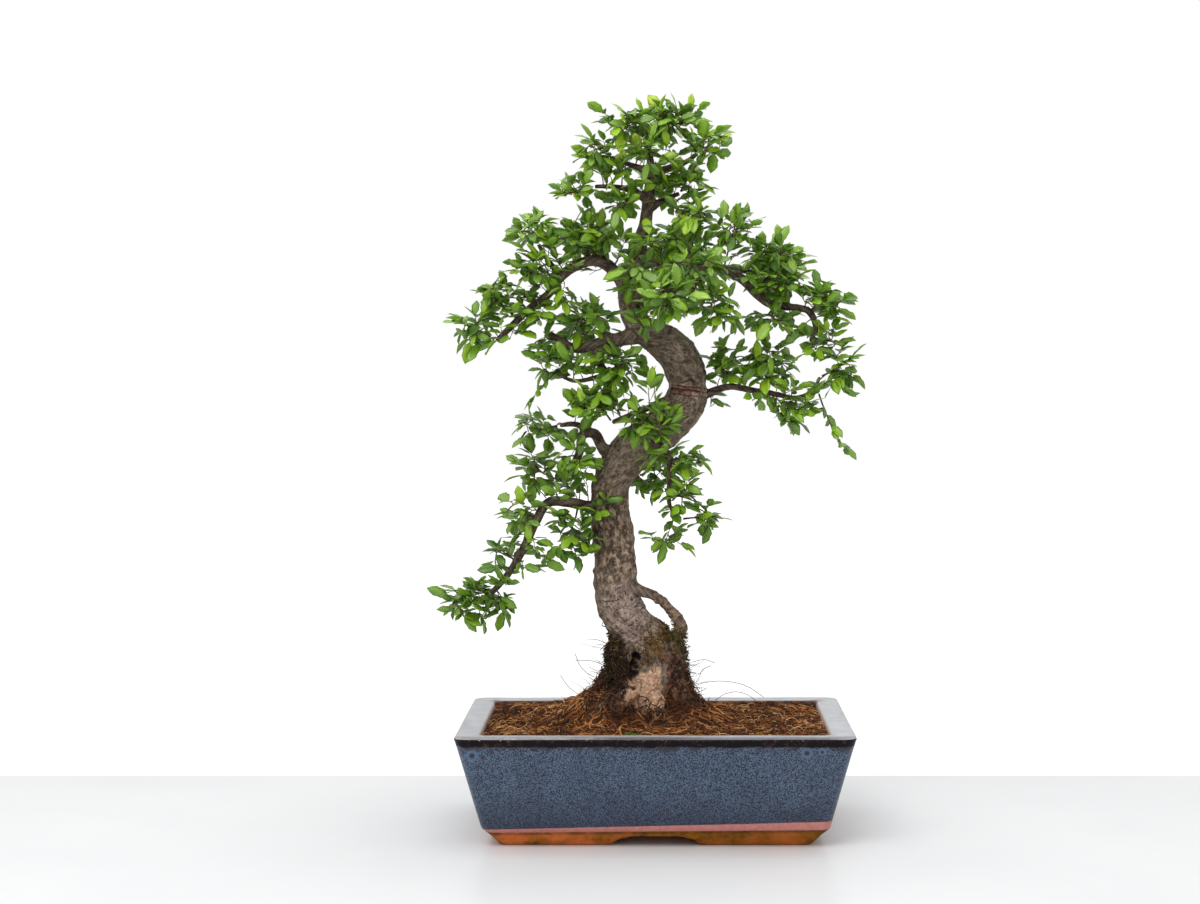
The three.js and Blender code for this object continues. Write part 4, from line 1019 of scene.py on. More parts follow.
def makeBark():
    # grey-brown bark streaked along the wood, darker on thin branches, with bare wood, scars, moss stains and
    # painted shade in the hollow by the root base
    bark = Finish("bark", Specular_IOR_Level=0.2)
    patches, mottle, mark = bark.patches, bark.mottle, bark.mark
    grain = read(bark.tree, "Attribute", "Vector", attribute_name="grain")

    def stain(name, first, second, size, seed, place=None):
        # one marked spot painted with two mottled colours
        return mark(name), mottle((first, second), size, 0.5, 0.14, seed, place=place)

    plates = patches(0.0034, 0.5, 0.12, 30.0, place=grain)
    coarse = mottle(((0.070, 0.042, 0.029), (0.550, 0.390, 0.280)), 0.0042, 0.46, 0.07, 32.5, place=grain)
    streak = patches(0.0015, 0.40, 0.07, 32.0, place=grain)
    # lines across the trunk, one for each 4.6 mm along it, wavy and broken
    ring = mark("along") / 0.0046 + patches(0.016, 0.5, 0.5, 43.0, "Value") * 3.0
    ring = between(abs(compute("FRACT", ring) - 0.5), 0.16, 0.07) * patches(0.0075, 0.46, 0.08, 44.0)
    wrinkle = patches(0.0019, 0.40, 0.05, 35.0, place=grain) * mark("bare")
    color = layered(
        blend(plates, (0.090, 0.058, 0.040), (0.385, 0.300, 0.222)),
        (patches(0.022, 0.45, 0.25, 31.0) * 0.5, (0.235, 0.180, 0.125)),
        (mark("paleBark"), blend(plates, (0.250, 0.168, 0.135), (0.500, 0.395, 0.330))),
        (mark("coarse") * 0.75, coarse),
        (ring * (mark("paleBark") + 0.2) * 0.85, (0.060, 0.030, 0.024)),
        (streak * 0.6, (0.045, 0.028, 0.019)),
        (patches(0.0014, 0.36, 0.05, 33.0) * 0.7, (0.54, 0.44, 0.33)),
        (patches(0.012, 0.32, 0.1, 45.0) * 0.6, (0.055, 0.038, 0.026)),
        (mark("thin"), blend(plates, (0.038, 0.024, 0.017), (0.200, 0.148, 0.110))),
        stain("rootSide", (0.014, 0.007, 0.004), (0.150, 0.060, 0.026), 0.0030, 36.0),
        stain("loop", (0.075, 0.040, 0.024), (0.330, 0.235, 0.165), 0.0028, 37.5),
        stain("lump", (0.050, 0.018, 0.012), (0.230, 0.105, 0.072), 0.0026, 37.0),
        stain("ribs", (0.026, 0.010, 0.009), (0.270, 0.135, 0.095), 0.0022, 38.0, grain),
        stain("bare", (0.36, 0.185, 0.115), (0.80, 0.525, 0.350), 0.0026, 34.0),
        (wrinkle * 0.75, (0.16, 0.075, 0.05)),
        stain("ochreMoss", (0.060, 0.034, 0.013), (0.27, 0.160, 0.060), 0.002, 39.0),
        stain("greenMoss", (0.030, 0.022, 0.010), (0.130, 0.105, 0.040), 0.002, 40.0),
        (mark("knotHole"), (0.07, 0.032, 0.02)),
        # painted shade: the hollow by the root base in near black
        (mark("shadedCavity"), (0.006, 0.004, 0.004)),
        (mark("fissure"), (0.030, 0.018, 0.014)))
    x, y, z = axes(bark.place)
    slope = z + x * 0.13 + patches(0.006, 0.5, 0.5, 41.0) * 0.003
    for height, halfWidth in ((0.3715, 0.0007), (0.3745, 0.0005), (0.3672, 0.0004)):  # red lines on the scar
        line = between(abs(slope - height), halfWidth * 1.7, halfWidth) * mark("scar")
        color = blend(line, color, (0.12, 0.022, 0.016))
    relief = patches(0.0022, 0.5, 0.5, 42.0, "Value") + streak * -0.6 + plates * 0.5
    return bark.done(color, (relief, 1.0, 0.0022), Roughness=plates * 0.15 + 0.72)


# Roots, moss and hairs that grow on the wood near the soil: each row is a patch, its box in millimetres

tuftColumns = ("box", "count", "length", "lift", "fall", "out", "bend", "thick", "tone", "ragged")
tufts = dict(
    mat=[
        ((-46, -22, -22, 10, 116, 165), 620, (4, 12), (0.4, 3.0), 0.9, 0.2, 9, (0.32, 0.8), (0.0, 0.5)),
        ((-40, -22, -34, -8, 116, 154), 260, (4, 12), (0.4, 3.0), 0.9, 0.25, 9, (0.3, 0.75), (0.0, 0.55)),
        ((-68, -28, -42, 18, 92, 128), 620, (6, 20), (0.4, 2.6), 0.9, 0.12, 14, (0.32, 0.8), (0.1, 0.8)),
        ((-30, 14, -54, -20, 84, 106), 170, (6, 16), (0.4, 2.5), 1.2, 0.25, 14, (0.3, 0.7), (0.1, 0.85)),
        ((-46, 34, -50, -16, 88, 114), 110, (12, 30), (0.5, 4), 1.6, 0.2, 22, (0.45, 1.0), (0.6, 1.0)),
        ((12, 48, -34, 20, 94, 132), 460, (6, 20), (0.4, 2.6), 1.0, 0.15, 14, (0.32, 0.75), (0.15, 0.95)),
        ((17, 30, -16, 8, 116, 158), 190, (4, 13), (0.5, 3), 0.4, 0.5, 12, (0.25, 0.55), (0.0, 0.5))],
    moss=[
        ((-13, 9, -40, -8, 140, 170), 330, (2.0, 6.5), (0.4, 1.8), 1.2, 0.35, 6, (0.25, 0.5), (0.0, 0.45),
         0.9),
        ((0, 24, -40, -4, 150, 170), 170, (2.0, 5.5), (0.4, 1.8), 0.6, 0.5, 5, (0.25, 0.5), (0.0, 0.8),
         0.9),
        ((12, 30, -40, 4, 142, 166), 230, (2.0, 7.0), (0.4, 1.8), 0.3, 0.6, 7, (0.25, 0.5), (0.35, 0.97),
         0.8),
        ((-46, -26, -24, 6, 128, 165), 210, (2.0, 5.5), (0.4, 1.8), 0.2, 0.65, 5, (0.3, 0.6), (0.35, 0.8))],
    hair=[
        ((-66, -34, -14, 6, 100, 156), 30, (10, 30), (-3, 3), -0.3, 0.85, 60, (0.17, 0.30), (0.0, 0.6)),
        ((16, 46, -16, 8, 100, 156), 42, (9, 26), (-3, 3), 0.1, 0.8, 45, (0.17, 0.30), (0.0, 0.6))])


# long loose root hairs over the soil, through places in millimetres
hairArcs = [
    [(26, -6, 112), (33, -8, 119), (46, -10, 123), (60, -12, 123.5), (76, -14, 120), (90, -16, 111)],
    [(50, -14, 108), (58, -18, 114), (68, -20, 116), (80, -24, 112), (88, -28, 103)],
    [(30, -10, 118), (36, -14, 126), (40, -14, 134), (47, -14, 137)],
    [(-44, -14, 126), (-54, -18, 130), (-62, -20, 138), (-66, -20, 148)],
    [(-40, -12, 136), (-52, -14, 141), (-66, -16, 142)],
    [(32, -12, 140), (42, -14, 142), (50, -14, 139)],
    [(-60, -22, 112), (-72, -26, 122), (-78, -26, 131)]]


def tuftStrands(mesh, patch, seed, steps):
    # strands rooted on the wood: each runs along it, bends round it, falls a little and may stand out
    random = np.random.default_rng(seed)
    places, normals = placesOf(mesh), readPoints(mesh, "normal")
    low, high = np.array(patch["box"][::2]), np.array(patch["box"][1::2])
    away = np.abs((places - (low + high) / 2) / (high - low) * 2)
    away = (away ** 4).sum(axis=1) ** 0.25 + layeredNoise(places, 7.0, 97, 2) * patch.get("ragged", 0.3)
    inside = np.flatnonzero(away < 1)
    chosen = random.choice(inside, patch["count"])
    base, normal = places[chosen], normals[chosen]
    way = random.normal(0, 1, base.shape) - [0, 0, patch["fall"]]
    way -= normal * (way * normal).sum(axis=1)[:, None]
    way /= np.linalg.norm(way, axis=1)[:, None]
    side = np.cross(way, normal)[:, None]
    way = (way * (1 - patch["out"]) + normal * patch["out"])[:, None]
    share = np.linspace(0, 1, steps)[None, :, None]
    length = random.uniform(*patch["length"], len(base))[:, None, None]
    lift = random.uniform(*patch["lift"], len(base))[:, None, None]
    wiggle = random.uniform(-0.14, 0.14, len(base))[:, None, None] * length
    run = length * share
    path = base[:, None] - normal[:, None] * 0.3 + way * run + side * wiggle * np.sin(share * 5)
    rise = lift * np.sin(np.pi * share) - run ** 2 / (2 * patch["bend"]) * (1 - patch["out"])
    path = path + normal[:, None] * rise
    radii = random.uniform(*patch["thick"], len(base))[:, None] * (1 - 0.6 * share[..., 0])
    return path, radii, random.uniform(*patch["tone"], len(base))


# a green cushion on the soil by the front lip
clump = dict(place=(-18.0, -82.5), strands=80, spread=(4.5, 1.6, 0.4), lean=(0, -0.3, 0.9), length=(2.5, 5.5),
             thick=0.32, tone=(0.97, 1))


def greenClump(steps):
    # short strands from places drawn round its middle, each in a way of its own that leans up and forward
    random = np.random.default_rng(95)
    count = clump["strands"]
    middle = np.array([*clump["place"], soilHeight(*clump["place"])])
    base = middle + random.normal(0, 1, (count, 3)) * clump["spread"]
    way = unit(random.normal(0, 1, (count, 3)) * [1, 1, 0.4] + clump["lean"])
    run = np.linspace(0, 1, steps)[None, :, None] * random.uniform(*clump["length"], (count, 1, 1))
    tones = random.uniform(*clump["tone"], count)
    return base[:, None] + way[:, None] * run, np.full((count, steps), clump["thick"]), tones


def looseHairs(steps):
    # even points picked from each arc
    arcs = []
    for arc in hairArcs:
        route = smoothRoute([(*place, 1) for place in arc], 4.0)
        arcs.append(route[np.linspace(0, len(route) - 1, steps).astype(int), :3])
    return np.stack(arcs), np.full((len(arcs), steps), 0.26), np.linspace(0.1, 0.5, len(arcs))


def addTufts(mesh):
    # the strands of all patches of one kind make one piece; each patch has a seed of its own
    fibre = makeStrandMaterial("root_fibre", [
        (0.0, (0.012, 0.009, 0.005)), (0.3, (0.045, 0.027, 0.013)), (0.6, (0.15, 0.055, 0.022)),
        (0.85, (0.33, 0.14, 0.05)), (1.0, (0.50, 0.27, 0.12))])
    moss = makeStrandMaterial("moss", [
        (0.0, (0.085, 0.045, 0.015)), (0.25, (0.25, 0.140, 0.040)), (0.45, (0.40, 0.255, 0.090)),
        (0.5, (0.026, 0.024, 0.008)), (0.8, (0.100, 0.095, 0.025)), (0.95, (0.21, 0.20, 0.06)),
        (1.0, (0.09, 0.26, 0.02))], 0.85, 0.1)
    extras = dict(moss=greenClump, hair=looseHairs)
    for index, (kind, rows) in enumerate(tufts.items()):
        steps = 12 if kind == "hair" else 5
        grown = [tuftStrands(mesh, dict(zip(tuftColumns, row)), 80 + 10 * index + number, steps)
                 for number, row in enumerate(rows)]
        if kind in extras:
            grown.append(extras[kind](steps))
        paths, radii, tones = (np.concatenate(parts) for parts in zip(*grown))
        strands = strandMesh(paths, radii, 3, moss if kind == "moss" else fibre, tones)
        addPiece("root_" + kind, strands)


addTufts(addWood().data)
print("wood ready")


# Sprays: regions of foliage, each a centre and half sizes along x, y and z in millimetres

sprayRegions = dict(
    crown_top_left=(-22, -12, 585, 22, 26, 15), crown_top_right=(18, 4, 590, 22, 26, 17),
    crown_top_back=(-1, 34, 587, 25, 22, 17), crown_left=(-45, -4, 562, 20, 26, 19),
    crown_right=(45, -2, 569, 19, 24, 18), crown_front=(-3, -38, 559, 19, 18, 19),
    crown_low_left=(-62, -10, 532, 24, 24, 14), crown_low_right=(30, 6, 535, 23, 26, 17),
    crown_low_back=(1, 42, 539, 22, 20, 17), crown_neck_left=(-27, -20, 520, 16, 20, 13),
    shoulder_right_top=(30, -14, 509, 21, 28, 17), shoulder_right_mid=(66, -22, 497, 23, 26, 18),
    shoulder_left_top=(-99, -6, 498, 22, 24, 17), shoulder_left_mid=(-55, -10, 493, 26, 26, 18),
    shoulder_left_low=(-96, -18, 466, 24, 22, 17), shoulder_left_back=(-59, 42, 494, 31, 26, 20),
    left_end_top=(-130, -8, 444, 20, 22, 18), left_end_tip=(-148, -8, 418, 21, 20, 22),
    left_end_low=(-104, -12, 433, 23, 22, 20), centre_top=(6, -36, 487, 25, 22, 16),
    centre_left=(-13, -52, 460, 20, 24, 19), centre_right=(36, -58, 465, 24, 26, 19),
    centre_front=(13, -86, 441, 24, 24, 20), centre_low_left=(-9, -46, 426, 18, 18, 17),
    centre_low_right=(52, -44, 433, 22, 22, 21), centre_back=(23, 62, 482, 34, 30, 32),
    back_low=(19, 84, 448, 31, 26, 28), right_shoulder_top=(99, -4, 477, 22, 22, 19),
    right_shoulder_mid=(106, -16, 453, 25, 22, 18), right_end_top=(139, -6, 440, 26, 22, 19),
    right_end_low=(138, -8, 407, 21, 20, 22), right_back=(100, 44, 468, 30, 26, 27),
    left_mid_top=(-57, -16, 425, 23, 22, 19), left_mid_end=(-85, -14, 397, 19, 20, 29),
    left_mid_low=(-33, -24, 385, 25, 22, 21), left_mid_back=(-53, 44, 416, 27, 24, 26),
    right_mid_top=(60, -6, 387, 20, 20, 22), right_mid_far=(96, -4, 388, 22, 22, 24),
    right_mid_low=(117, -6, 350, 26, 20, 19), right_mid_tip=(154, -4, 383, 19, 16, 23),
    front_low_left=(-46, -34, 358, 20, 20, 21), front_low_right=(-1, -50, 341, 28, 22, 20),
    low_left_top=(-93, -12, 335, 25, 20, 18), low_left_mid=(-99, -14, 301, 22, 20, 21),
    low_left_near=(-60, -24, 308, 21, 20, 21), low_left_fork=(-110, -12, 266, 20, 18, 21),
    low_left_under=(-66, -14, 250, 24, 18, 30), tail_mid=(-121, -10, 228, 21, 16, 24),
    tail_end=(-149, -8, 191, 33, 20, 23), low_right_top=(18, -44, 310, 33, 20, 15),
    low_right_mid=(23, -48, 281, 18, 18, 20), low_right_end=(41, -42, 264, 15, 16, 17),
    low_right_low=(10, -42, 245, 22, 16, 14), low_back=(1, 48, 297, 30, 24, 26),
    right_shoulder_low=(96, -12, 424, 22, 20, 15))

# main and side: the shortest shoot, the length of its steps and its clearance from the wood
spray = dict(mainShoots=2, tipMargin=7.0, stemSpacing=6.0, shootSpacing=4.8, shootsPerVolume=0.00160,
             leafSpacing=4.7, twigBase=0.85, twigTip=0.38, tries=14, thinFrom=19,
             main=(10, 17, 2.5), side=(7, 5, 1.2))

spans = np.array([pair for route in (trunkRoute, rootLoopRoute, *branchRoutes.values())
                  for pair in zip(route, route[1:])], dtype=float)
spanStart, spanRadius = spans[:, 0, :3], spans[:, 0, 3]
spanRun, spanGrowth = spans[:, 1, :3] - spanStart, spans[:, 1, 3] - spanRadius
spanLength2 = (spanRun ** 2).sum(axis=1)


def placesOnWood(offset):
    # for each offset from the start of each straight piece of wood: the nearest place on it, its radius there
    share = np.clip((offset * spanRun).sum(axis=2) / spanLength2, 0, 1)
    return spanStart + share[..., None] * spanRun, spanRadius + share * spanGrowth


def clearOfWood(points, clearance):
    # whether every point is further from the wood than the clearance asked for
    places, radii = placesOnWood(points[:, None] - spanStart)
    gaps = np.linalg.norm(points[:, None] - places, axis=2) - radii
    return bool((gaps > np.reshape(clearance, (-1, 1))).all())


stemStarts = []


def sprayStart(centre):
    # where a stem starts: on thin wood near the region, towards its centre, apart from other stems
    targets = np.stack([spanStart, spanStart + spanRun, spanStart + spanRun * 0.5,
                        np.broadcast_to(centre, spanStart.shape)])
    places, radii = placesOnWood(targets - spanStart)
    places, radii = places.transpose(1, 0, 2).reshape(-1, 3), radii.T.ravel()
    distances = np.linalg.norm(places - centre, axis=1) + radii * 2
    for choice in np.argsort(distances, kind="stable"):
        way = unit(centre - places[choice])
        start = places[choice] + way * radii[choice]
        isApart = all(np.linalg.norm(other - start) >= spray["stemSpacing"] for other in stemStarts)
        if isApart and clearOfWood((start + way * 3)[None], 1.5):
            stemStarts.append(start)
            return start, way


def shootCurve(start, way, tip, steps):
    # a quadratic curve that leaves its knot in one direction and ends at the tip
    bend = start + way * np.linalg.norm(tip - start) * 0.45
    share = np.linspace(0, 1, steps + 1)[:, None]
    return (1 - share) ** 2 * start + 2 * (1 - share) * share * bend + share ** 2 * tip


def placesAlong(points):
    # five places on each straight piece between points
    shares = np.array([0.2, 0.4, 0.6, 0.8, 1.0])[None, :, None]
    return (points[:-1, None] + shares * (points[1:, None] - points[:-1, None])).reshape(-1, 3)


takenPlaces = []


def isFree(places, name):
    # whether places keep their distance from the main shoots of the other sprays
    others = [place for owner, place in takenPlaces if owner != name]
    if not others:
        return True
    gaps = np.linalg.norm(places[:, None] - np.concatenate(others), axis=2)
    return bool((gaps >= spray["shootSpacing"]).all())


def knotsAlong(points):
    # side shoots leave a shoot forward and to alternate sides
    knots = []
    for step in range(1, len(points)):
        heading = unit(points[step] - points[step - 1])
        side = unit(np.cross(heading, up)) * (-0.8 if step % 2 else 0.8)
        knots.append((points[step], unit(heading + side)))
    return knots


def nextShoots(grown, seed, knots, count, isMain):
    # shoots one after another: of several tips drawn inside the region, each takes the one furthest from
    # all earlier tips whose way from the nearest knot is clear of the wood
    draw = randomSource(seed)
    shortest, stepLength, thick = spray["main" if isMain else "side"]
    for index in range(count):
        best = None
        for attempt in range(spray["tries"]):
            polar, turn, reach = math.acos(1 - 2 * draw()), 2 * math.pi * draw(), 0.6 + 0.4 * draw()
            tip = reach * np.array([math.sin(polar) * math.sin(turn), math.cos(polar),
                                    math.sin(polar) * math.cos(turn)])
            spread = min(np.linalg.norm(other - tip) for other in grown["tips"])
            if best and spread <= best[0]:
                continue
            place = tip * grown["half"] + grown["centre"]
            knot = min(knots, key=lambda other: np.linalg.norm(other[0] - place))
            length = np.linalg.norm(knot[0] - place)
            if length < shortest:
                continue
            points = shootCurve(*knot, place, max(1, math.floor(length / stepLength + 0.5)))
            places = placesAlong(points)
            distance = np.linalg.norm(places - (grown["start"] if isMain else knot[0]), axis=1)
            clearance = np.minimum(thick, 0.2 + 0.6 * distance)
            if clearOfWood(places, clearance) and (not isMain or isFree(places, grown["name"])):
                best = (spread, tip, knot, points)
        if best:
            grown["tips"].append(best[1])
            knots += knotsAlong(best[3])
            yield best[2:]


def growShoots(name, region, seed):
    # the main shoots of a region, the same as in its solid
    centre = np.array(region[:3], dtype=float)
    half = np.array(region[3:], dtype=float) - spray["tipMargin"]
    start, way = sprayStart(centre)
    grown = dict(name=name, seed=seed, centre=centre, half=half, start=start, way=way,
                 tips=[(start - centre) / half])
    grown["shoots"] = list(nextShoots(grown, seed, [(start, way)], spray["mainShoots"], True))
    takenPlaces.extend((name, placesAlong(points)) for knot, points in grown["shoots"])
    return grown


def branchKnots(centre, half):
    # places on thin wood inside a region from which side shoots can start, on alternate sides
    knots = []
    for route in [trunkRoute[spray["thinFrom"]:], *branchRoutes.values()]:
        points = smoothRoute(route, 7.0)
        headings = unit(np.gradient(points[:, :3], axis=0))
        for step in range(1, len(points)):
            place, heading = points[step, :3], headings[step]
            if np.linalg.norm((place - centre) / (half + 10)) > 1.0:
                continue
            out = unit(np.cross(heading, up)) * (1 if step % 2 else -1) + up * (0.6 if step % 3 else -0.5)
            out = unit(out - heading * np.dot(out, heading))
            knots.append((place + out * points[step, 3], unit(out + heading * 0.5)))
    return knots


def fillSpray(grown):
    # the main shoots as finer curves, then side shoots until the region is full
    fine = [(shootCurve(*knot, points[-1], max(4, (len(points) - 1) * 3)), 1.0)
            for knot, points in grown["shoots"]]
    knots = [(grown["start"], grown["way"])]
    for points, thick in fine:
        knots += knotsAlong(points)
    knots += branchKnots(grown["centre"], grown["half"])
    count = int(np.prod(grown["half"] + spray["tipMargin"]) * spray["shootsPerVolume"])
    side = nextShoots(grown, grown["seed"] + 1000, knots, count, False)
    return fine + [(points, 0.75) for knot, points in side]


leaf = dict(rows=(0, 0.1, 0.2, 0.36, 0.52, 0.68, 0.84), columns=5, stalk=0.1, stalkWidth=0.05,
            length=(10.0, 18.0), width=0.465, thickness=0.28, tooth=0.09,
            tries=4, youth=((330, 470, 540), (0.8, 0.85, 1.0)))


def leafTemplate():
    # a stalk, then a blade whose half width is share^0.58 * (1 - share)^0.62, toothed, to a pointed tip.
    # The underside has one line of its own under the midrib and shares the outline, so a leaf is closed.
    forward, across = np.array(leaf["rows"]), np.linspace(-1, 1, leaf["columns"])
    share = np.clip((forward - leaf["stalk"]) / (1 - leaf["stalk"]), 0, 1)
    width = share ** 0.58 * (1 - share) ** 0.62 / 0.4355
    tooth = np.where(np.arange(len(forward)) % 2 == 1, 1 + leaf["tooth"], 1 - leaf["tooth"])
    width = np.maximum(width * tooth, leaf["stalkWidth"])
    t, c = np.meshgrid(forward, across, indexing="ij")
    rows, columns = t.shape
    middle, tip = columns // 2, t.size
    points = np.stack([t, width[:, None] * c, np.where(np.abs(c) > 0.99, 0, 0.5)], axis=-1)
    points = np.concatenate([points.reshape(-1, 3), [[1, 0, 0]], points[:, middle] * [1, 1, -1]])
    number = np.arange(t.size).reshape(t.shape)
    underNumber = number[:, ::middle].copy()
    underNumber[:, 1] = tip + 1 + np.arange(rows)
    loops, counts = [[*number[0], underNumber[0, 1]]], [[columns + 1]]
    for grid, isTop in ((number, True), (underNumber, False)):
        quads = grid.ravel()[gridQuads(*grid.shape)]
        last = grid[-1]
        ends = np.stack([last[:-1], np.full(len(last) - 1, tip), last[1:]], axis=1)
        loops += [(quads[:, ::-1] if isTop else quads).ravel(), (ends if isTop else ends[:, ::-1]).ravel()]
        counts += [np.full(len(quads), 4), np.full(len(ends), 3)]
    pattern = np.stack([c, np.broadcast_to(share[:, None], t.shape)], axis=-1)
    pattern = np.concatenate([pattern.reshape(-1, 2), [[0, 1]], pattern[:, middle]])
    isUnder = (np.arange(len(points)) > tip).astype(float)
    return points, np.concatenate(loops), np.concatenate(counts), isUnder, pattern


leafShape, leafLoops, leafCounts, leafUnder, leafUvs = leafTemplate()


def drawLeaves(seed, centre, fine):
    # alternate leaves along every shoot and a tuft of three at its tip
    random = np.random.default_rng(seed + 500)
    rows = []
    for points, thick in fine:
        distance = lengthAlong(points)
        total = distance[-1]
        side = random.choice([-1, 1])
        places = [(total, 0), (total - 0.6, side)]
        place = total - 1.8
        while place > total * 0.1 and place > 1.5:
            side = -side
            places.append((place, side))
            place -= spray["leafSpacing"] * random.uniform(0.75, 1.3)
        for place, side in places:
            base = evenly(place, distance, points)
            heading = unit(base - evenly(place - 1, distance, points))
            rows.append(oneLeaf(random, base, heading, side, centre, place / total))
    return [row for row in rows if row is not None]


def strayShoot(thick, *places):
    # a long shoot of its own, through given places in millimetres
    return smoothRoute([(*place, 1) for place in places], 5.0)[:, :3], thick


# for each region: how thick each shoot is, and its places
strayShoots = dict(
    right_mid_tip=[(0.9, (137, -2, 362), (141, -4, 350), (146, -6, 338), (150, -7, 327), (158, -8, 318)),
        (0.7, (138, -1, 374), (148, -3, 382), (158, -5, 388))],
    right_mid_low=[(0.7, (101, -5, 360), (108, -9, 349), (110, -11, 340))],
    crown_top_left=[(0.7, (-20, -6, 575), (-34, -10, 590), (-40, -12, 594)),
        (0.8, (-4, 0, 570), (-6, -6, 584), (-8, -10, 592)),
        (0.8, (-4, 0, 568), (-14, -12, 580), (-20, -16, 590))],
    crown_top_right=[(0.8, (-3, 0, 570), (4, -8, 584), (6, -12, 594)),
        (0.8, (-4, 0, 566), (8, 4, 578), (18, 8, 592)),
        (0.7, (22, 0, 584), (32, -4, 592), (38, -6, 596))],
    shoulder_left_mid=[(0.7, (-46, -10, 474), (-54, -14, 486), (-66, -17, 492))],
    left_mid_end=[(0.7, (-80, -18, 382), (-90, -19, 372), (-98, -20, 362))],
    tail_end=[(0.7, (-150, -9, 190), (-160, -11, 190), (-170, -12, 194))])


def leafTone(random, share, isTip):
    # 0 is an old dark leaf, 1 a young yellow-green one; leaves are younger towards a shoot's tip
    return min(0.7 * random.uniform(0, 1) + 0.14 * share + (0.22 * random.uniform(0, 1) if isTip else 0), 1.0)


def oneLeaf(random, base, heading, side, centre, share):
    # a leaf from its base, sideways and forward, facing up and out; drawn again where it would meet the wood
    isTip = side == 0
    for attempt in range(leaf["tries"]):
        sideways = np.cross(heading, up)
        if np.linalg.norm(sideways) < 0.35:
            angle = random.uniform(0, 2 * np.pi)
            sideways = np.array([math.cos(angle), math.sin(angle), 0])
        spread = 0.0 if isTip else random.uniform(0.7, 1.6)
        along = unit(heading + unit(sideways) * side * spread + random.uniform(-0.3, 0.3, 3) + [0, 0, 0.1])
        out = base - centre
        face = up * 0.85 + out / max(np.linalg.norm(out), 1) * 0.45 + random.uniform(-0.6, 0.6, 3)
        normal = unit(face - along * np.dot(face, along))
        length = random.uniform(*leaf["length"]) * (0.8 + 0.24 * share) * (1.15 if isTip else 1)
        if clearOfWood(base + along * np.array([[0.35], [0.7], [1.0]]) * length, 0.8):
            width = length * leaf["width"] * random.uniform(0.85, 1.12)
            fold, droop = random.uniform(0.05, 0.42), random.uniform(0.02, 0.34)
            tone = leafTone(random, share, isTip) * np.interp(base[2], *leaf["youth"])
            twist = random.uniform(-0.25, 0.25)
            return np.concatenate([base, along, normal, [length, width, fold, droop, tone, twist]])
    return None


def leafMesh(rows, material):
    # every leaf at once: base + along * length * share + across * width * side + bend along the normal
    rows = np.array(rows)
    base, along, normal = rows[:, 0:3], rows[:, 3:6], rows[:, 6:9]
    length, width, fold, droop, tone, twist = rows[:, 9:].T
    across = np.cross(normal, along)
    forward, side, face = leafShape.T
    turn = twist[:, None] * forward
    height = fold[:, None] * np.abs(side) * width[:, None] * 0.5
    height = height - droop[:, None] * forward ** 2 * length[:, None]
    height = height + 0.035 * width[:, None] * np.sin(forward * 9 + tone[:, None] * 6) * side
    height = height + face * leaf["thickness"]
    sideways = side * width[:, None] * 0.5
    points = base[:, None] + along[:, None] * (forward * length[:, None])[..., None] \
        + across[:, None] * (sideways * np.cos(turn) - height * np.sin(turn))[..., None] \
        + normal[:, None] * (sideways * np.sin(turn) + height * np.cos(turn))[..., None]
    count, corners = len(rows), len(leafShape)
    loops = (leafLoops[None] + (np.arange(count) * corners)[:, None]).ravel()
    counts = np.tile(leafCounts, count)
    attributes = dict(tone=np.repeat(tone, corners), under=np.tile(leafUnder, count))
    uvs = np.tile(leafUvs, (count, 1))
    return makeMesh(points.reshape(-1, 3), loops, counts, material, attributes, uvs)


def makeLeafMaterial():
    # each leaf has its own green; the midrib and side veins are paler and sunk, the underside is duller
    blade = Finish("leaf", Specular_IOR_Level=0.55, Subsurface_Weight=0.12, Subsurface_Scale=0.002,
                   Subsurface_Radius=(0.4, 1.0, 0.15))
    across, along = axes(read(blade.tree, "UVMap", 0, uv_map="pattern"))[:2]
    across = abs(across)
    # side veins are a wave along the leaf that slants towards its tip
    wave = abs(compute("SINE", (along - across * 0.22) * 28.0))
    veins = compute("MAXIMUM", between(across, 0.10, 0.03), between(wave, 0.24, 0.06) * 0.5)
    color = ramp(blade.mark("tone"), [
        (0.0, (0.035, 0.090, 0.013)), (0.35, (0.118, 0.246, 0.011)), (0.7, (0.240, 0.430, 0.009)),
        (0.9, (0.36, 0.55, 0.010)), (1.0, (0.49, 0.65, 0.020))])
    color = layered(color, (veins * 0.45, blend(0.5, color, (0.30, 0.42, 0.09))),
                    (blade.patches(0.004, 0.45, 0.2, 50.0) * 0.3, (0.045, 0.11, 0.012)))
    under = blade.mark("under")
    color = blend(under, color, blend(0.4, color, (0.20, 0.31, 0.07)))
    return blade.done(color, (veins * -1.0, 0.35, 0.0004), Roughness=under * 0.25 + 0.33)


sprigs = dict(spacing=9.0, length=(8.0, 19.0), thick=0.6, routes=dict(
    leftUpper=0.75, leftUpperTwig=0.7, rightUpper=0.3, rightUpperTwig=0.7, leftMiddle=0.25,
    leftMiddleFork=0.4, rightMiddle=0.5, lowLeftKnot=0.2, lowLeftTwig=0.5, lowLeft=0.75, lowRightFront=0.4,
    frontMiddle=0.4, crownRight=0.7, crownLeft=0.9, crownLowLeft=0.9, crownLowRight=0.7))
sprigCentres = dict(left=(-90, 0, 400), right=(90, 0, 400), middle=(0, 0, 540))


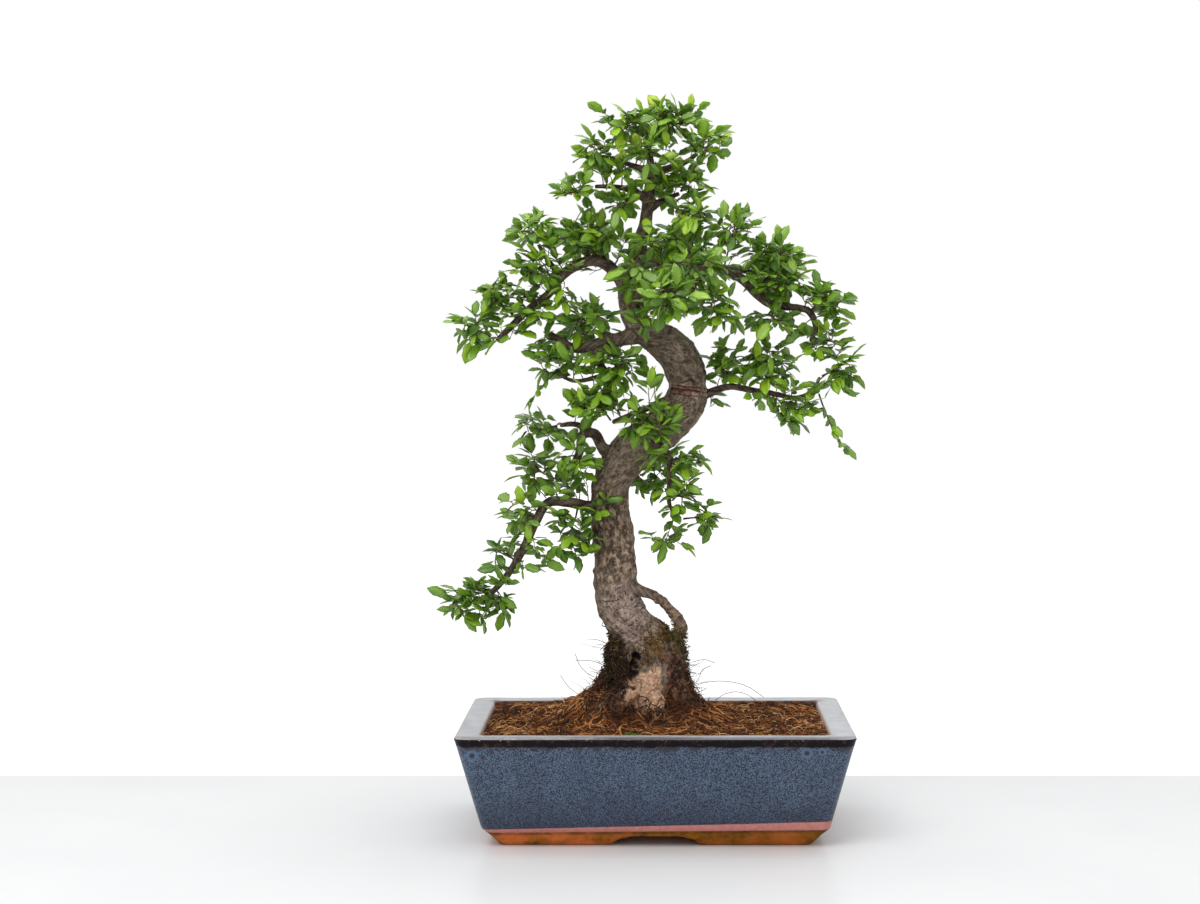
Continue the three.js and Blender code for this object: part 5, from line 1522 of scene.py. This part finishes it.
def growSprigs():
    # short shoots of their own along the branches, two tries at each step of a route
    random = np.random.default_rng(91)
    found = []
    for name, chance in sprigs["routes"].items():
        points = smoothRoute(branchRoutes[name], sprigs["spacing"])
        headings = unit(np.gradient(points[:, :3], axis=0))
        for point, heading in zip(np.repeat(points[1:-1], 2, axis=0), np.repeat(headings[1:-1], 2, axis=0)):
            if random.uniform() > chance:
                continue
            out = random.normal(0, 1, 3) + [0, -0.5, 0.35]
            out = unit(out - heading * np.dot(out, heading))
            start = point[:3] + out * point[3]
            way = out + heading * random.uniform(-0.2, 0.7)
            tip = start + (way + [0, 0, 0.25]) * random.uniform(*sprigs["length"])
            curve = shootCurve(start, out, tip, 4)
            if clearOfWood(placesAlong(curve[1:]), 1.0):
                found.append((curve, sprigs["thick"]))
    return found


def sprigGroup(curve):
    # 0 is near the left centre, 1 near the right one, 2 far from both or high in the crown
    x, y, z = curve[0]
    high = max(z - 490, 0) * 9
    return np.argmin([abs(x + 90) + high, abs(x - 90) + high, 120])


def addSprays():
    # a piece of leaves for each region and each group of sprigs, then all twigs as one piece
    leafMaterial = makeLeafMaterial()
    twigMaterial = makeStrandMaterial("twig", [
        (0.0, (0.045, 0.026, 0.02)), (0.6, (0.10, 0.055, 0.038)), (1.0, (0.17, 0.10, 0.06))], 0.7, 0.2)
    bunches = []
    for grown in [growShoots(*item, index + 1) for index, item in enumerate(sprayRegions.items())]:
        fine = fillSpray(grown) + [strayShoot(*row) for row in strayShoots.get(grown["name"], [])]
        bunches.append((grown["name"], fine, grown["seed"], grown["centre"], ["spray_" + grown["name"]]))
    found = growSprigs()
    for number, (side, centre) in enumerate(sprigCentres.items()):
        fine = [shoot for shoot in found if sprigGroup(shoot[0]) == number]
        bunches.append(("sprigs_" + side, fine, 900 + number, np.array(centre, dtype=float), []))
    even = np.linspace(0, 1, 7)
    taper = spray["twigBase"] + (spray["twigTip"] - spray["twigBase"]) * even
    paths, radii, total = [], [], 0
    for name, fine, seed, centre, replaced in bunches:
        rows = drawLeaves(seed, centre, fine)
        total += len(rows)
        addPiece("leaves_" + name, leafMesh(rows, leafMaterial), replaced)
        paths += [evenly(even, np.linspace(0, 1, len(points)), points) for points, thick in fine]
        radii += [taper * thick for points, thick in fine]
    tones = np.random.default_rng(71).uniform(0, 1, len(paths))
    addPiece("twigs", strandMesh(np.array(paths), np.array(radii), 4, twigMaterial, tones))
    print("leaves", total, "twigs", len(paths))


addSprays()

newLow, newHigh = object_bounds()
sizes = dict(cad=[list(cadLow), list(cadHigh)], visual=[list(newLow), list(newHigh)])
{key: [[float(value) for value in corner] for corner in corners] for key, corners in sizes.items()}
